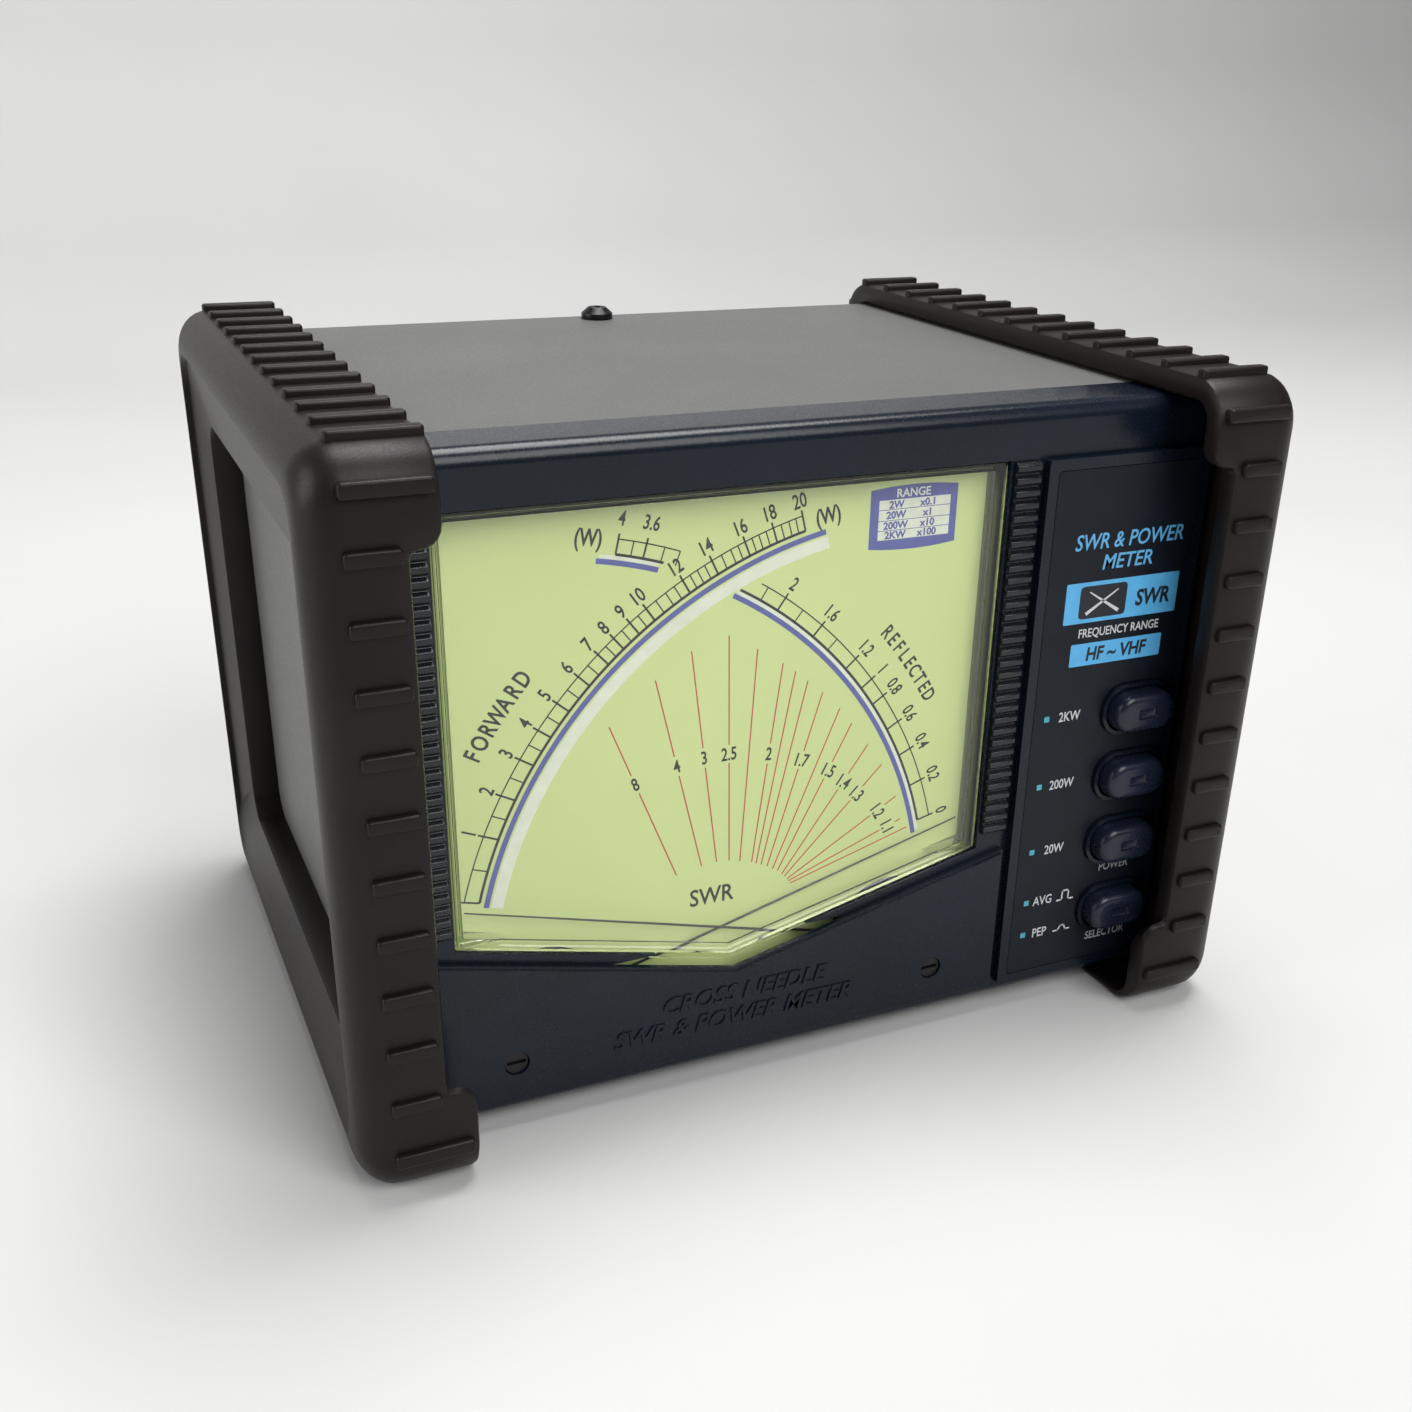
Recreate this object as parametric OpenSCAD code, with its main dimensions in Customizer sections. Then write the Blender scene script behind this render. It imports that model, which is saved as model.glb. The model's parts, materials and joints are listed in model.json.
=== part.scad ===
// Cross-needle SWR and power meter with side guards.
// +Z up, the front faces -Y, the origin is the bottom centre of the whole object.

/* [Side guards] */
// Height of the guards, table to ridge tops
guard_h = 112; // [100:1:135]
// Depth of the guards over the ridges
guard_d = 123; // [102:1:148]
// Thickness of a guard outside the cabinet
guard_wall = 7.5; // [6:0.5:10]
// Thickness of the guard flanges, front, top and rear
flange_t = 3.8; // [3:0.1:4.5]
// Reach of the top flange and corner lips over the cabinet
lip_reach = 10.1; // [8:0.1:12]
// Reach of the front and rear flanges between the lips
flange_reach = 5.8; // [4:0.1:7]
// Height of the corner lips below the cabinet top
top_lip_h = 9; // [7:0.5:14]
// Height of the lower corner lips above the table
low_lip_h = 16.9; // [12:0.1:20]
// Spacing of the grip ridges
ridge_pitch = 9; // [7:0.5:11]
// Width of a grip ridge
ridge_w = 2.2; // [1.5:0.1:3]
// Height of a grip ridge
ridge_h = 1; // [0.6:0.1:1.4]
// Radius of the outer edges of a guard
guard_edge_r = 6; // [4:0.5:7]
// Corner radius of a guard seen from the side
guard_corner_r = 7; // [5:0.5:10]
// Width of the rim around the side window
rim_w = 7.5; // [7:0.5:10]
// Width of the sloping ledge inside the rim, front and rear
ledge_w = 9; // [6:0.5:12]
// Width of the sloping ledge above the side window
ledge_top = 11; // [6:0.5:14]
// Width of the sloping ledge below the side window
ledge_low = 7; // [5:0.5:12]
// Depth of the ledge at its inner edge
ledge_drop = 2.5; // [1.5:0.1:4]

/* [Cabinet] */
// Gap between the table and the cabinet
base_gap = 1.7; // [1.6:0.1:4]
// Top of the cabinet below the guard ridges
top_gap = 5; // [5:0.1:8]
// Front face of the bezel behind the guard ridges
front_setback = 13.5; // [10:0.5:18]
// Depth of the bezel
bezel_d = 11.2; // [9:0.1:16]
// Wall of the bezel moulding
bezel_wall = 2.2; // [1.8:0.1:3]
// Radius of the long front edges of the bezel
bezel_edge_r = 2.6; // [1:0.1:4]
// Rear edge of the cabinet ahead of the guard rear
rear_setback = 7; // [6:0.5:10]
// Sheet thickness of the steel cover
cover_t = 1; // [0.8:0.1:1.5]
// Sheet thickness of the chassis and rear panel
chassis_t = 1.2; // [1:0.1:2]

/* [Meter] */
// Width of the clear window
lens_w = 90; // [80:1:108]
// Height of the window at its sides
lens_side_h = 66; // [55:1:70]
// Drop of the window's point below its lower corners
lens_point = 10.8; // [6:0.1:14]
// Top of the window below the top of the cabinet
lens_top_gap = 8.4; // [7:0.1:12]
// Thickness of the window moulding
lens_t = 1.4; // [1.2:0.1:2]
// Window face behind the bezel face
lens_recess = 0.6; // [0.3:0.1:1]
// Distance from the window centre line to each movement's axis
pivot_x = 30.9; // [28:0.1:33]
// Height of the movement axes below the window's point
pivot_drop = 4.7; // [4:0.1:7]
// Length of a pointer from its axis to its tip
pointer_len = 76.8; // [70:0.1:77]
// Angle of the resting pointer above the horizontal
rest_angle = 15.3; // [14:0.1:20]
// Pointer swing from zero to full scale
swing = 63; // [55:1:66]
// Depth of the meter case behind the dial
case_depth = 20; // [18:0.5:24]
// Offset of a zero adjuster from its movement's axis, outwards
adjuster_dx = 6.1; // [5:0.1:7]
// Drop of a zero adjuster below its movement's axis
adjuster_dz = 5.5; // [4:0.1:6]
// Radius of the zero adjuster holes
adjuster_r = 2; // [1.5:0.1:2.5]
// Running clearance of turning and sliding pieces
running = 0.05; // [0.02:0.01:0.08]

/* [Controls] */
// Width of the control panel
panel_w = 31.3; // [28:0.1:38]
// How far the control panel and lower fascia stand off the bezel
plate_t = 1.6; // [1.2:0.1:2.5]
// Width of a push button
button_w = 11.7; // [10:0.1:13]
// Height of a push button
button_h = 6.9; // [6:0.1:8.2]
// Button face ahead of the control panel
button_out = 3.8; // [3:0.1:5]
// Button travel
travel = 3; // [2:0.1:3.6]
// Spacing of the three range buttons
button_pitch = 12.4; // [11.5:0.1:14]
// Spacing from the lowest range button to the selector button
selector_pitch = 13.3; // [12:0.1:16]
// Height of the selector button above the cabinet base
selector_z = 15.2; // [13:0.1:20]

/* [Rear] */
// Radius over the threads of a coaxial socket (5/8 inch)
socket_r = 7.94; // [7:0.01:9]
// Length of a socket behind the rear panel
socket_len = 15.5; // [14:0.5:20]
// Square flange of a socket
socket_flange = 25.4; // [22:0.1:28]
// Spacing between the two coaxial sockets
socket_gap = 64; // [54:1:72]
// Height of the sockets above the cabinet base
socket_z = 36; // [30:1:50]
// Width of the coupler box
coupler_w = 100; // [94:1:112]
// Depth of the coupler box
coupler_d = 34; // [28:1:36]
// Height of the coupler box
coupler_h = 36; // [30:1:44]

/* [Hidden] */
$fn = 48;

eps = 0.01;
ridge_count = 13;
cab_w = 11.2 + lens_w + 6.2 + panel_w + 1.3;
cab_half = cab_w / 2;
guard_half = cab_half + guard_wall;
y_front = -(guard_d - rear_setback + socket_len) / 2;
y_guard_rear = y_front + guard_d;
y_bezel = y_front + front_setback;
y_seam = y_bezel + bezel_d;
y_rear = y_guard_rear - rear_setback;
z_base = base_gap;
z_top = guard_h - top_gap;
fit_gap = 0.15;

// Meter layout
lens_left = -cab_half + 11.2;
lens_cx = lens_left + lens_w / 2;
lens_right = lens_left + lens_w;
z_lens_top = z_top - lens_top_gap;
z_lens_corner = z_lens_top - lens_side_h;
z_lens_point = z_lens_corner - lens_point;
point_slope = lens_point / (lens_w / 2);
z_pivot = z_lens_point - pivot_drop;
y_lens = y_bezel + lens_recess;
y_lens_back = y_lens + lens_t;
y_forward_blade = y_lens_back + 1.15;
blade_gap = 0.8;
blade_t = 0.3;
y_dial = y_forward_blade + 2 * blade_gap + 0.05;
dial_t = 0.5;
y_case = y_dial + dial_t;
y_case_back = y_case + case_depth;
case_wall = 1.6;
case_left = lens_left - 1.8;
case_right = lens_right + 1.8;
z_case_low = z_base + bezel_wall + chassis_t;
z_case_top = z_lens_top + 1.9;
strip_w = 4.4;
strip_gap = 0.7;

// Movement layout, along Y from the bezel face
y_lever = y_bezel + 1.5;
lever_t = 0.4;
y_bridge = y_bezel + bezel_wall + 0.15;
bridge_t = 0.5;
bush_r = 1.6;
arbor_r = 0.6;
hub_r = 1.6;
y_spring = y_dial + 0.1;
spring_t = 0.4;
core_r = 5.2;
core_len = 11;
coil_in = 5.9;
coil_out = 7.1;
coil_bar = 2.4;
coil_end_t = 1.2;
coil_gap = 0.5;
y_core = y_case + 2.4;
y_coil = y_core - coil_gap - coil_end_t;
y_coil_back = y_core + core_len + coil_gap + coil_end_t;
yoke_in = 7.8;
yoke_out = 10.4;
post_at = yoke_out + 1.9;
bridge_angle = 30;
y_case_floor = y_case_back - case_wall;
pin_offset = 1.2;
pin_r = 0.5;
adjuster_reach = norm([adjuster_dx, adjuster_dz]);
adjuster_dir = atan2(-adjuster_dz, adjuster_dx);

// Control layout
panel_left = lens_right + 6.2;
panel_right = panel_left + panel_w;
panel_low = z_base + 3;
panel_high = z_lens_top + 0.1;
y_plate = y_bezel - plate_t;
label_inset = 1.8;
label_t = 0.3;
button_x = panel_right - 8.9;
button_slack = 0.4;
rim_wall = 0.7;
rim_out = 0.8;
selector_button_z = z_base + selector_z;
range_20w_z = selector_button_z + selector_pitch;
range_200w_z = range_20w_z + button_pitch;
range_2kw_z = range_200w_z + button_pitch;
y_button = y_plate - button_out;
button_r = button_h / 2 - 0.35;
y_switch = y_bezel + 9;
switch_d = 19;
switch_w = 12;
switch_h = button_pitch - 2.4;
plunger_w = 4;
y_switch_board = y_switch + switch_d;

// Rear layout
y_panel = y_rear - chassis_t;
socket_zc = z_base + socket_z;
coupler_low = socket_zc - coupler_h / 2;
y_coupler = y_panel - coupler_d;
coupler_t = 0.8;
conductor_r = 1.6;
y_conductor = y_panel - coupler_d * 0.6;
contact_r = 3;
contact_bore_r = 2.03;
insulator_r = 6;
flange_hole = 9.15;
jack_x = cab_half - 24;
jack_z = z_top - 30;
jack_r = 5.5;
board_t = 1.6;
y_board = y_case_back + 4;

cover_screw_y = y_rear - 3.6;
bracket_screw_z = [selector_button_z - switch_h / 2 - 3.5, range_2kw_z + switch_h / 2 + 3.5];
board_left = case_left + 4;
board_right = case_right - 4;
board_low = z_case_low + 6;
board_high = z_case_top - 30;
board_screw_x = [board_left + 4, board_right - 4];
board_screw_z = [board_low + 4, board_high - 4];

// ---- outlines and helpers ----
module along_x(x0, len) {
    translate([x0, 0, 0]) rotate([90, 0, 90]) linear_extrude(len) children();
}
module along_y(y0, len) {
    translate([0, y0 + len, 0]) rotate([90, 0, 0]) linear_extrude(len) children();
}
module box(low, high) {
    translate(low) cube(high - low);
}
module rod_y(r, x, z, y0, y1) {
    translate([x, y0, z]) rotate([-90, 0, 0]) cylinder(r = r, h = y1 - y0);
}
module rod_x(r, y, z, x0, x1) {
    translate([x0, y, z]) rotate([0, 90, 0]) cylinder(r = r, h = x1 - x0);
}
// Rectangle from (x0, y0) to (x1, y1) with round corners
module round_rect(x0, y0, x1, y1, r) {
    translate([x0 + r, y0]) square([x1 - x0 - 2 * r, y1 - y0]);
    translate([x0, y0 + r]) square([x1 - x0, y1 - y0 - 2 * r]);
    for (x = [x0 + r, x1 - r], y = [y0 + r, y1 - r]) translate([x, y]) circle(r);
}
// Rounded bar centred on (x, z), for buttons and their holes
module pill(x, z, w, h, r) {
    round_rect(x - w / 2, z - h / 2, x + w / 2, z + h / 2, r);
}
// Window outline, grown outwards by g
module lens_outline(g) {
    tip = g / cos(atan(point_slope));
    polygon([[lens_left - g, z_lens_top + g], [lens_right + g, z_lens_top + g],
        [lens_right + g, z_lens_corner - tip + point_slope * g],
        [lens_cx, z_lens_point - tip],
        [lens_left - g, z_lens_corner - tip + point_slope * g]]);
}
module mirror_meter(on) {
    if (on) translate([2 * lens_cx, 0, 0]) mirror([1, 0, 0]) children();
    else children();
}

// ---- side guards ----
module guard_solid() {
    x_in = cab_half - lip_reach;
    low = [y_front + ridge_h, 0];
    high = [y_guard_rear - ridge_h, guard_h - ridge_h];
    r = guard_edge_r;
    intersection() {
        along_x(x_in, guard_half - x_in) round_rect(low[0], low[1], high[0], high[1], guard_corner_r);
        along_y(low[0], high[0] - low[0]) union() {
            round_rect(x_in, 0, guard_half, high[1], r);
            translate([x_in, 0]) square([2 * r, high[1]]);
        }
        linear_extrude(high[1]) union() {
            round_rect(x_in, low[0], guard_half, high[0], r);
            translate([x_in, low[0]]) square([2 * r, high[0] - low[0]]);
        }
    }
}
module guard_ridges() {
    x_in = cab_half - lip_reach + 1.6;
    x_mid = cab_half - flange_reach + 2;
    x_out = guard_half - 4.9;
    first = (guard_d - (ridge_count - 1) * ridge_pitch) / 2;
    half = ridge_w / 2;
    end_r = half - 0.1;
    sink = 0.6;
    for (i = [0 : ridge_count - 1]) {
        y = y_front + first + i * ridge_pitch;
        translate([0, 0, guard_h - ridge_h - sink]) linear_extrude(ridge_h + sink)
            round_rect(x_in, y - half, x_out, y + half, end_r);
    }
    for (i = [0 : ridge_count - 2]) {
        z = guard_h - first + 2 - i * ridge_pitch;
        inner = z > z_top - top_lip_h || z < low_lip_h ? x_in : x_mid;
        if (z > guard_corner_r)
            for (y = [y_front, y_guard_rear - ridge_h - sink])
                along_y(y, ridge_h + sink) round_rect(inner, z - half, x_out, z + half, end_r);
    }
}
// Recess of the side window: a rim, a sloping ledge and the opening onto the cover
module guard_window() {
    y0 = y_front + rim_w;
    y1 = y_guard_rear - rim_w;
    z0 = rim_w + 2.4;
    z1 = guard_h - rim_w - 0.5;
    x0 = guard_half - ledge_drop;
    x1 = guard_half + 1;
    grow = (x1 - x0) / ledge_drop;
    intersection() {
        along_y(y0, y1 - y0) polygon([[x0, z0 + ledge_low], [x0, z1 - ledge_top],
            [x1, z1 + ledge_top * (grow - 1)], [x1, z0 - ledge_low * (grow - 1)]]);
        linear_extrude(guard_h) polygon([[x0, y0 + ledge_w], [x0, y1 - ledge_w],
            [x1, y1 + ledge_w * (grow - 1)], [x1, y0 - ledge_w * (grow - 1)]]);
        along_x(x0, x1 - x0) round_rect(y0, z0, y1, z1, 6);
    }
    along_x(cab_half - 1, guard_wall + 2)
        round_rect(y0 + ledge_w, z0 + ledge_low, y1 - ledge_w, z1 - ledge_top, 5);
}
module guard_right_shape() {
    difference() {
        union() {
            guard_solid();
            guard_ridges();
        }
        box([0, y_front + ridge_h + flange_t, z_base - 0.2],
            [cab_half, y_guard_rear - ridge_h - flange_t, z_top + 0.2]);
        for (y = [y_front - 1, y_guard_rear - 6 + 1])
            along_y(y, 6) round_rect(cab_half - lip_reach - 9, low_lip_h,
                cab_half - flange_reach, z_top - top_lip_h, 3);
        guard_window();
    }
}
module guard_right() {
    color("#2b2624") guard_right_shape();
}
module guard_left() {
    color("#2b2624") mirror([1, 0, 0]) guard_right_shape();
}
// ---- front ----
module bezel_profile(g) {
    r = bezel_edge_r;
    y0 = y_bezel + g;
    z0 = z_base + g;
    z1 = z_top - g;
    translate([y0 + r, z0]) square([y_seam - y0 - r, z1 - z0]);
    translate([y0, z0 + r]) square([r, z1 - z0 - 2 * r]);
    for (z = [z0 + r, z1 - r]) translate([y0 + r, z]) circle(r);
}
module front_bezel() {
    color("#1b2432") for (z = bracket_screw_z) difference() {
        rod_y(2.8, button_x, z, y_bezel + 0.5, y_switch - 1);
        rod_y(1.5, button_x, z, y_switch - 5, y_switch);
    }
    color("#1b2432") difference() {
        along_x(-cab_half, cab_w) bezel_profile(0);
        box([-cab_half + bezel_wall, y_bezel + bezel_wall, z_base + bezel_wall],
            [cab_half - bezel_wall, y_seam + 1, z_top - bezel_wall]);
        along_y(y_bezel - 1, bezel_wall + 2) lens_outline(fit_gap);
        box([lens_left + 2, y_bezel - 1, z_base + 6],
            [lens_right - 2, y_bezel + bezel_wall + 1, z_lens_point + 3]);
        box([button_x - button_w / 2 - 1.6, y_bezel - 1, selector_button_z - 4.6],
            [button_x + button_w / 2 + 1.6, y_bezel + bezel_wall + 1, range_2kw_z + 4.6]);
    }
}
fascia_left = -cab_half + 1.3;
fascia_right = lens_right + 5;
ridge_drop = 1.8;
module fascia_outline(g) {
    polygon([[fascia_left + g, panel_low + g], [fascia_right - g, panel_low + g],
        [fascia_right - g, z_lens_corner - ridge_drop + point_slope * (fascia_right - lens_right) - g],
        [lens_cx, z_lens_point - ridge_drop - g],
        [fascia_left + g, z_lens_corner - ridge_drop + point_slope * (lens_left - fascia_left) - g]]);
}
module lower_fascia() {
    boss_r = adjuster_r + 1.4;
    color("#1d2736") difference() {
        union() {
            along_y(y_plate + 0.5, plate_t - 0.5) fascia_outline(0);
            along_y(y_plate, 0.5 + eps) fascia_outline(0.5);
            for (s = [-1, 1])
                rod_y(boss_r, lens_cx + s * (pivot_x + adjuster_dx), z_pivot - adjuster_dz,
                    y_bezel - eps, y_bezel + 0.9);
        }
        for (s = [-1, 1])
            rod_y(adjuster_r, lens_cx + s * (pivot_x + adjuster_dx), z_pivot - adjuster_dz,
                y_plate - 1, y_bezel + 1);
    }
}
// Strip of small horizontal ribs beside the window
module rib_strip(x0) {
    ribs = 32;
    low = z_lens_corner + 2.6;
    pitch = (z_lens_top - low) / ribs;
    root = 0.5;
    crest = 1.2;
    color("#161c26") along_x(x0, strip_w) polygon(concat(
        [[y_bezel, low], [y_bezel, z_lens_top]],
        [for (i = [ribs - 1 : -1 : 0]) each [[y_bezel - root, low + (i + 1) * pitch],
            [y_bezel - crest, low + (i + 0.75) * pitch],
            [y_bezel - crest, low + (i + 0.35) * pitch],
            [y_bezel - root, low + (i + 0.1) * pitch]]],
        [[y_bezel - root, low]]));
}
module rib_strip_right() {
    rib_strip(lens_right + strip_gap);
}
module rib_strip_left() {
    rib_strip(lens_left - strip_gap - strip_w);
}

// ---- control panel ----
button_heights = [range_2kw_z, range_200w_z, range_20w_z, selector_button_z];
module panel_holes(grow, r) {
    for (z = button_heights) pill(button_x, z, button_w + 2 * grow, button_h + 2 * grow, r);
}
module control_panel() {
    color("#1d2736") difference() {
        union() {
            along_y(y_plate, plate_t)
                round_rect(panel_left, panel_low, panel_right, panel_high, 0.8);
            along_y(y_plate - rim_out, rim_out + 0.4)
                panel_holes(button_slack + rim_wall, button_r + button_slack + rim_wall);
        }
        along_y(y_plate - eps, 0.3 + eps) difference() {
            round_rect(panel_left + label_inset, panel_low + label_inset,
                panel_right - label_inset, panel_high - label_inset, 0.6);
            panel_holes(button_slack + rim_wall, button_r + button_slack + rim_wall);
        }
        along_y(y_plate - 2, plate_t + 4) panel_holes(button_slack, button_r + button_slack);
    }
}
module panel_label() {
    grow = button_slack + rim_wall + 0.1;
    color("#20262b") along_y(y_plate, label_t) difference() {
        round_rect(panel_left + label_inset + 0.1, panel_low + label_inset + 0.1,
            panel_right - label_inset - 0.1, panel_high - label_inset - 0.1, 0.5);
        panel_holes(grow, button_r + grow);
    }
}
module button_cap(z) {
    socket = plunger_w - 0.6;
    y_back = y_bezel + bezel_wall + 0.6;
    color("#1a2230") difference() {
        union() {
            along_y(y_button + 0.6, y_back - y_button - 0.6) pill(button_x, z, button_w, button_h, button_r);
            along_y(y_button, 0.6 + eps)
                pill(button_x, z, button_w - 0.9, button_h - 0.9, button_r - 0.45);
        }
        box([button_x - socket / 2, y_back - 4, z - socket / 2],
            [button_x + socket / 2, y_back + 1, z + socket / 2]);
        box([button_x - 1, y_button - 1, z - 2.2], [button_x + 2.3, y_button + 0.6, z + 0.5]);
    }
}
module button_plunger(z) {
    nose = plunger_w - 0.6;
    y_back = y_bezel + bezel_wall + 0.6;
    color("#d8d4c8") {
        box([button_x - nose / 2, y_back - 4, z - nose / 2],
            [button_x + nose / 2, y_back + eps, z + nose / 2]);
        box([button_x - plunger_w / 2, y_back, z - plunger_w / 2],
            [button_x + plunger_w / 2, y_switch + switch_d - 2 - travel - 0.5, z + plunger_w / 2]);
    }
}
module range_2kw_button() { button_cap(range_2kw_z); }
module range_200w_button() { button_cap(range_200w_z); }
module range_20w_button() { button_cap(range_20w_z); }
module selector_button() { button_cap(selector_button_z); }
module range_2kw_plunger() { button_plunger(range_2kw_z); }
module range_200w_plunger() { button_plunger(range_200w_z); }
module range_20w_plunger() { button_plunger(range_20w_z); }
module selector_plunger() { button_plunger(selector_button_z); }

// One latching push switch: body, guide slot for the plunger and solder pins
module switch_module(z) {
    slot = plunger_w + 2 * 0.1;
    difference() {
        box([button_x - switch_w / 2, y_switch, z - switch_h / 2],
            [button_x + switch_w / 2, y_switch + switch_d, z + switch_h / 2]);
        box([button_x - slot / 2, y_switch - 1, z - slot / 2],
            [button_x + slot / 2, y_switch + switch_d - 2, z + slot / 2]);
    }
    for (dx = [-4, 0, 4], dz = [-2.5, 2.5])
        box([button_x + dx - 0.4, y_switch + switch_d - eps, z + dz - 0.25],
            [button_x + dx + 0.4, y_switch_board + board_t + 0.8, z + dz + 0.25]);
}
module range_switch_bank() {
    color("#2c2c2e") {
        for (z = [range_2kw_z, range_200w_z, range_20w_z]) switch_module(z);
        box([button_x - switch_w / 2 - 1.2, y_switch + 3, range_20w_z - switch_h / 2],
            [button_x - switch_w / 2, y_switch + 8, range_2kw_z + switch_h / 2]);
    }
}
module selector_switch() {
    color("#2c2c2e") switch_module(selector_button_z);
}
module switch_bracket() {
    slot = plunger_w + 1.4;
    color("#b8babd") difference() {
        box([button_x - switch_w / 2, y_switch - 1, bracket_screw_z[0] - 3],
            [button_x + switch_w / 2, y_switch, bracket_screw_z[1] + 3]);
        for (z = button_heights)
            box([button_x - slot / 2, y_switch - 2, z - slot / 2],
                [button_x + slot / 2, y_switch + 1, z + slot / 2]);
        for (z = bracket_screw_z) rod_y(1.5, button_x, z, y_switch - 2, y_switch + 1);
    }
}
module switch_board() {
    low = selector_button_z - switch_h / 2 - 3;
    high = range_2kw_z + switch_h / 2 + 6;
    color("#3f6b3a") difference() {
        box([button_x - 11, y_switch_board, low],
            [button_x + switch_w / 2, y_switch_board + board_t, high]);
        for (z = button_heights, dx = [-4, 0, 4], dz = [-2.5, 2.5])
            box([button_x + dx - 0.5, y_switch_board - 1, z + dz - 0.35],
                [button_x + dx + 0.5, y_switch_board + board_t + 1, z + dz + 0.35]);
    }
}

// ---- steel case ----
module top_cover() {
    bend = 1.6;
    low = z_base + 1;
    color("#6f7375") difference() {
        along_y(y_seam + 0.2, y_rear - y_seam - 0.2) union() {
            round_rect(-cab_half, z_top - 6, cab_half, z_top, bend);
            translate([-cab_half, low]) square([cab_w, z_top - low - 3]);
        }
        along_y(y_seam - 1, y_rear - y_seam + 2)
            translate([-cab_half + cover_t, low - 1])
                square([cab_w - 2 * cover_t, z_top - cover_t - low + 1]);
        translate([0, cover_screw_y, z_top - 3]) cylinder(r = 1.7, h = 5);
    }
}
// Cross-recess pan head screw standing on z = 0 with its shank going down by len
module pan_screw(head_r, len) {
    difference() {
        union() {
            cylinder(r = head_r, h = 1.1);
            translate([0, 0, 1.1 - eps]) cylinder(r1 = head_r, r2 = head_r - 1.3, h = 1.1);
            translate([0, 0, -len]) cylinder(r = 1.5, h = len + eps);
        }
        translate([-1.5, -0.35, 1.1]) cube([3, 0.7, 2]);
        translate([-0.35, -1.5, 1.1]) cube([0.7, 3, 2]);
    }
}
// One holds the cover at the rear, two the switch bracket and four the main board
module cabinet_screws() {
    color("#1c1c1e") translate([0, cover_screw_y, z_top]) pan_screw(3, 5);
    color("#b8babd") {
        for (z = bracket_screw_z) translate([button_x, y_switch, z]) rotate([-90, 0, 0]) pan_screw(2.8, 4);
        for (x = board_screw_x, z = board_screw_z)
            translate([x, y_board + board_t, z]) rotate([-90, 0, 0]) pan_screw(2.8, 4);
    }
}
module chassis() {
    in = cab_half - cover_t;
    lip = 10;
    tongue = cab_half - bezel_wall - 4;
    color("#a9acae") {
        box([-in, y_seam, z_base + 1], [in, y_rear, z_base + 1 + chassis_t]);
        box([-tongue, y_seam - 7, z_base + bezel_wall],
            [tongue, y_seam + 4, z_base + bezel_wall + chassis_t]);
        for (s = [0, 1]) mirror([s, 0, 0])
            box([in - chassis_t, y_seam + 0.2, z_base + 1], [in, y_rear, z_base + lip]);
    }
}
module rear_panel() {
    in = cab_half - cover_t;
    low = z_base + 1 + chassis_t;
    high = z_top - cover_t;
    color("#6f7375") difference() {
        union() {
            box([-in + chassis_t, y_panel, low], [in - chassis_t, y_rear, high]);
            box([-in + chassis_t, y_rear - 9, high - chassis_t], [in - chassis_t, y_rear, high]);
        }
        for (s = [-1, 1]) {
            rod_y(socket_r + 0.3, s * socket_gap / 2, socket_zc, y_panel - 1, y_rear + 1);
            for (dx = [-flange_hole, flange_hole], dz = [-flange_hole, flange_hole])
                rod_y(1.6, s * socket_gap / 2 + dx, socket_zc + dz, y_panel - 1, y_rear + 1);
        }
        rod_y(jack_r + 0.1, jack_x, jack_z, y_panel - 1, y_rear + 1);
        translate([0, cover_screw_y, high - 4]) cylinder(r = 1.5 + running, h = 6);
    }
}

// ---- meter ----
module meter_lens() {
    flange_y = y_bezel + bezel_wall + 0.1;
    color("#dfe6e4", 0.4) difference() {
        union() {
            along_y(y_lens, y_case - dial_t - y_lens) lens_outline(0);
            along_y(flange_y, y_dial - flange_y) lens_outline(1.8);
        }
        along_y(y_lens_back, y_case - y_lens_back) lens_outline(-lens_t);
        box([lens_left + lens_t, y_forward_blade - 0.5, 0],
            [lens_right - lens_t, y_case, z_lens_corner - 0.5]);
    }
}
// Pivot openings in the dial's lower edge
module dial_plate() {
    low = z_case_low + case_wall + 0.2;
    color("#c9dba0") along_y(y_dial, dial_t) difference() {
        polygon([[case_left, z_case_top], [case_right, z_case_top], [case_right, low],
            [case_left, low]]);
        for (s = [-1, 1]) translate([lens_cx + s * pivot_x, z_pivot]) circle(yoke_out + 0.5);
        for (s = [-1, 1]) translate([lens_cx + s * pivot_x, z_pivot]) for (a = [0, 180])
            rotate(s > 0 ? bridge_angle + a : 180 - bridge_angle - a)
                translate([post_at, 0]) circle(2.2);
    }
}
module meter_case() {
    post_r = 1.6;
    color("#e9e7df") {
        difference() {
            box([case_left, y_case, z_case_low], [case_right, y_case_back, z_case_top]);
            box([case_left + case_wall, y_case - 1, z_case_low + case_wall],
                [case_right - case_wall, y_case_floor, z_case_top - case_wall]);
        }
        for (s = [-1, 1]) translate([lens_cx + s * pivot_x, 0, z_pivot]) {
            difference() {
                rod_y(2.4, 0, 0, y_coil_back + 0.6, y_case_floor + eps);
                rod_y(arbor_r + running, 0, 0, y_coil_back, y_coil_back + 2.2);
            }
            for (a = [90, 270]) rotate([0, -a, 0])
                rod_y(1.5, (yoke_in + yoke_out) / 2, 0, y_core + core_len, y_case_floor + eps);
            for (a = [0, 180]) rotate([0, s > 0 ? -bridge_angle - a : bridge_angle + a - 180, 0])
                rod_y(post_r, post_at, 0, y_bridge + bridge_t, y_case_floor + eps);
        }
    }
}
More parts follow.
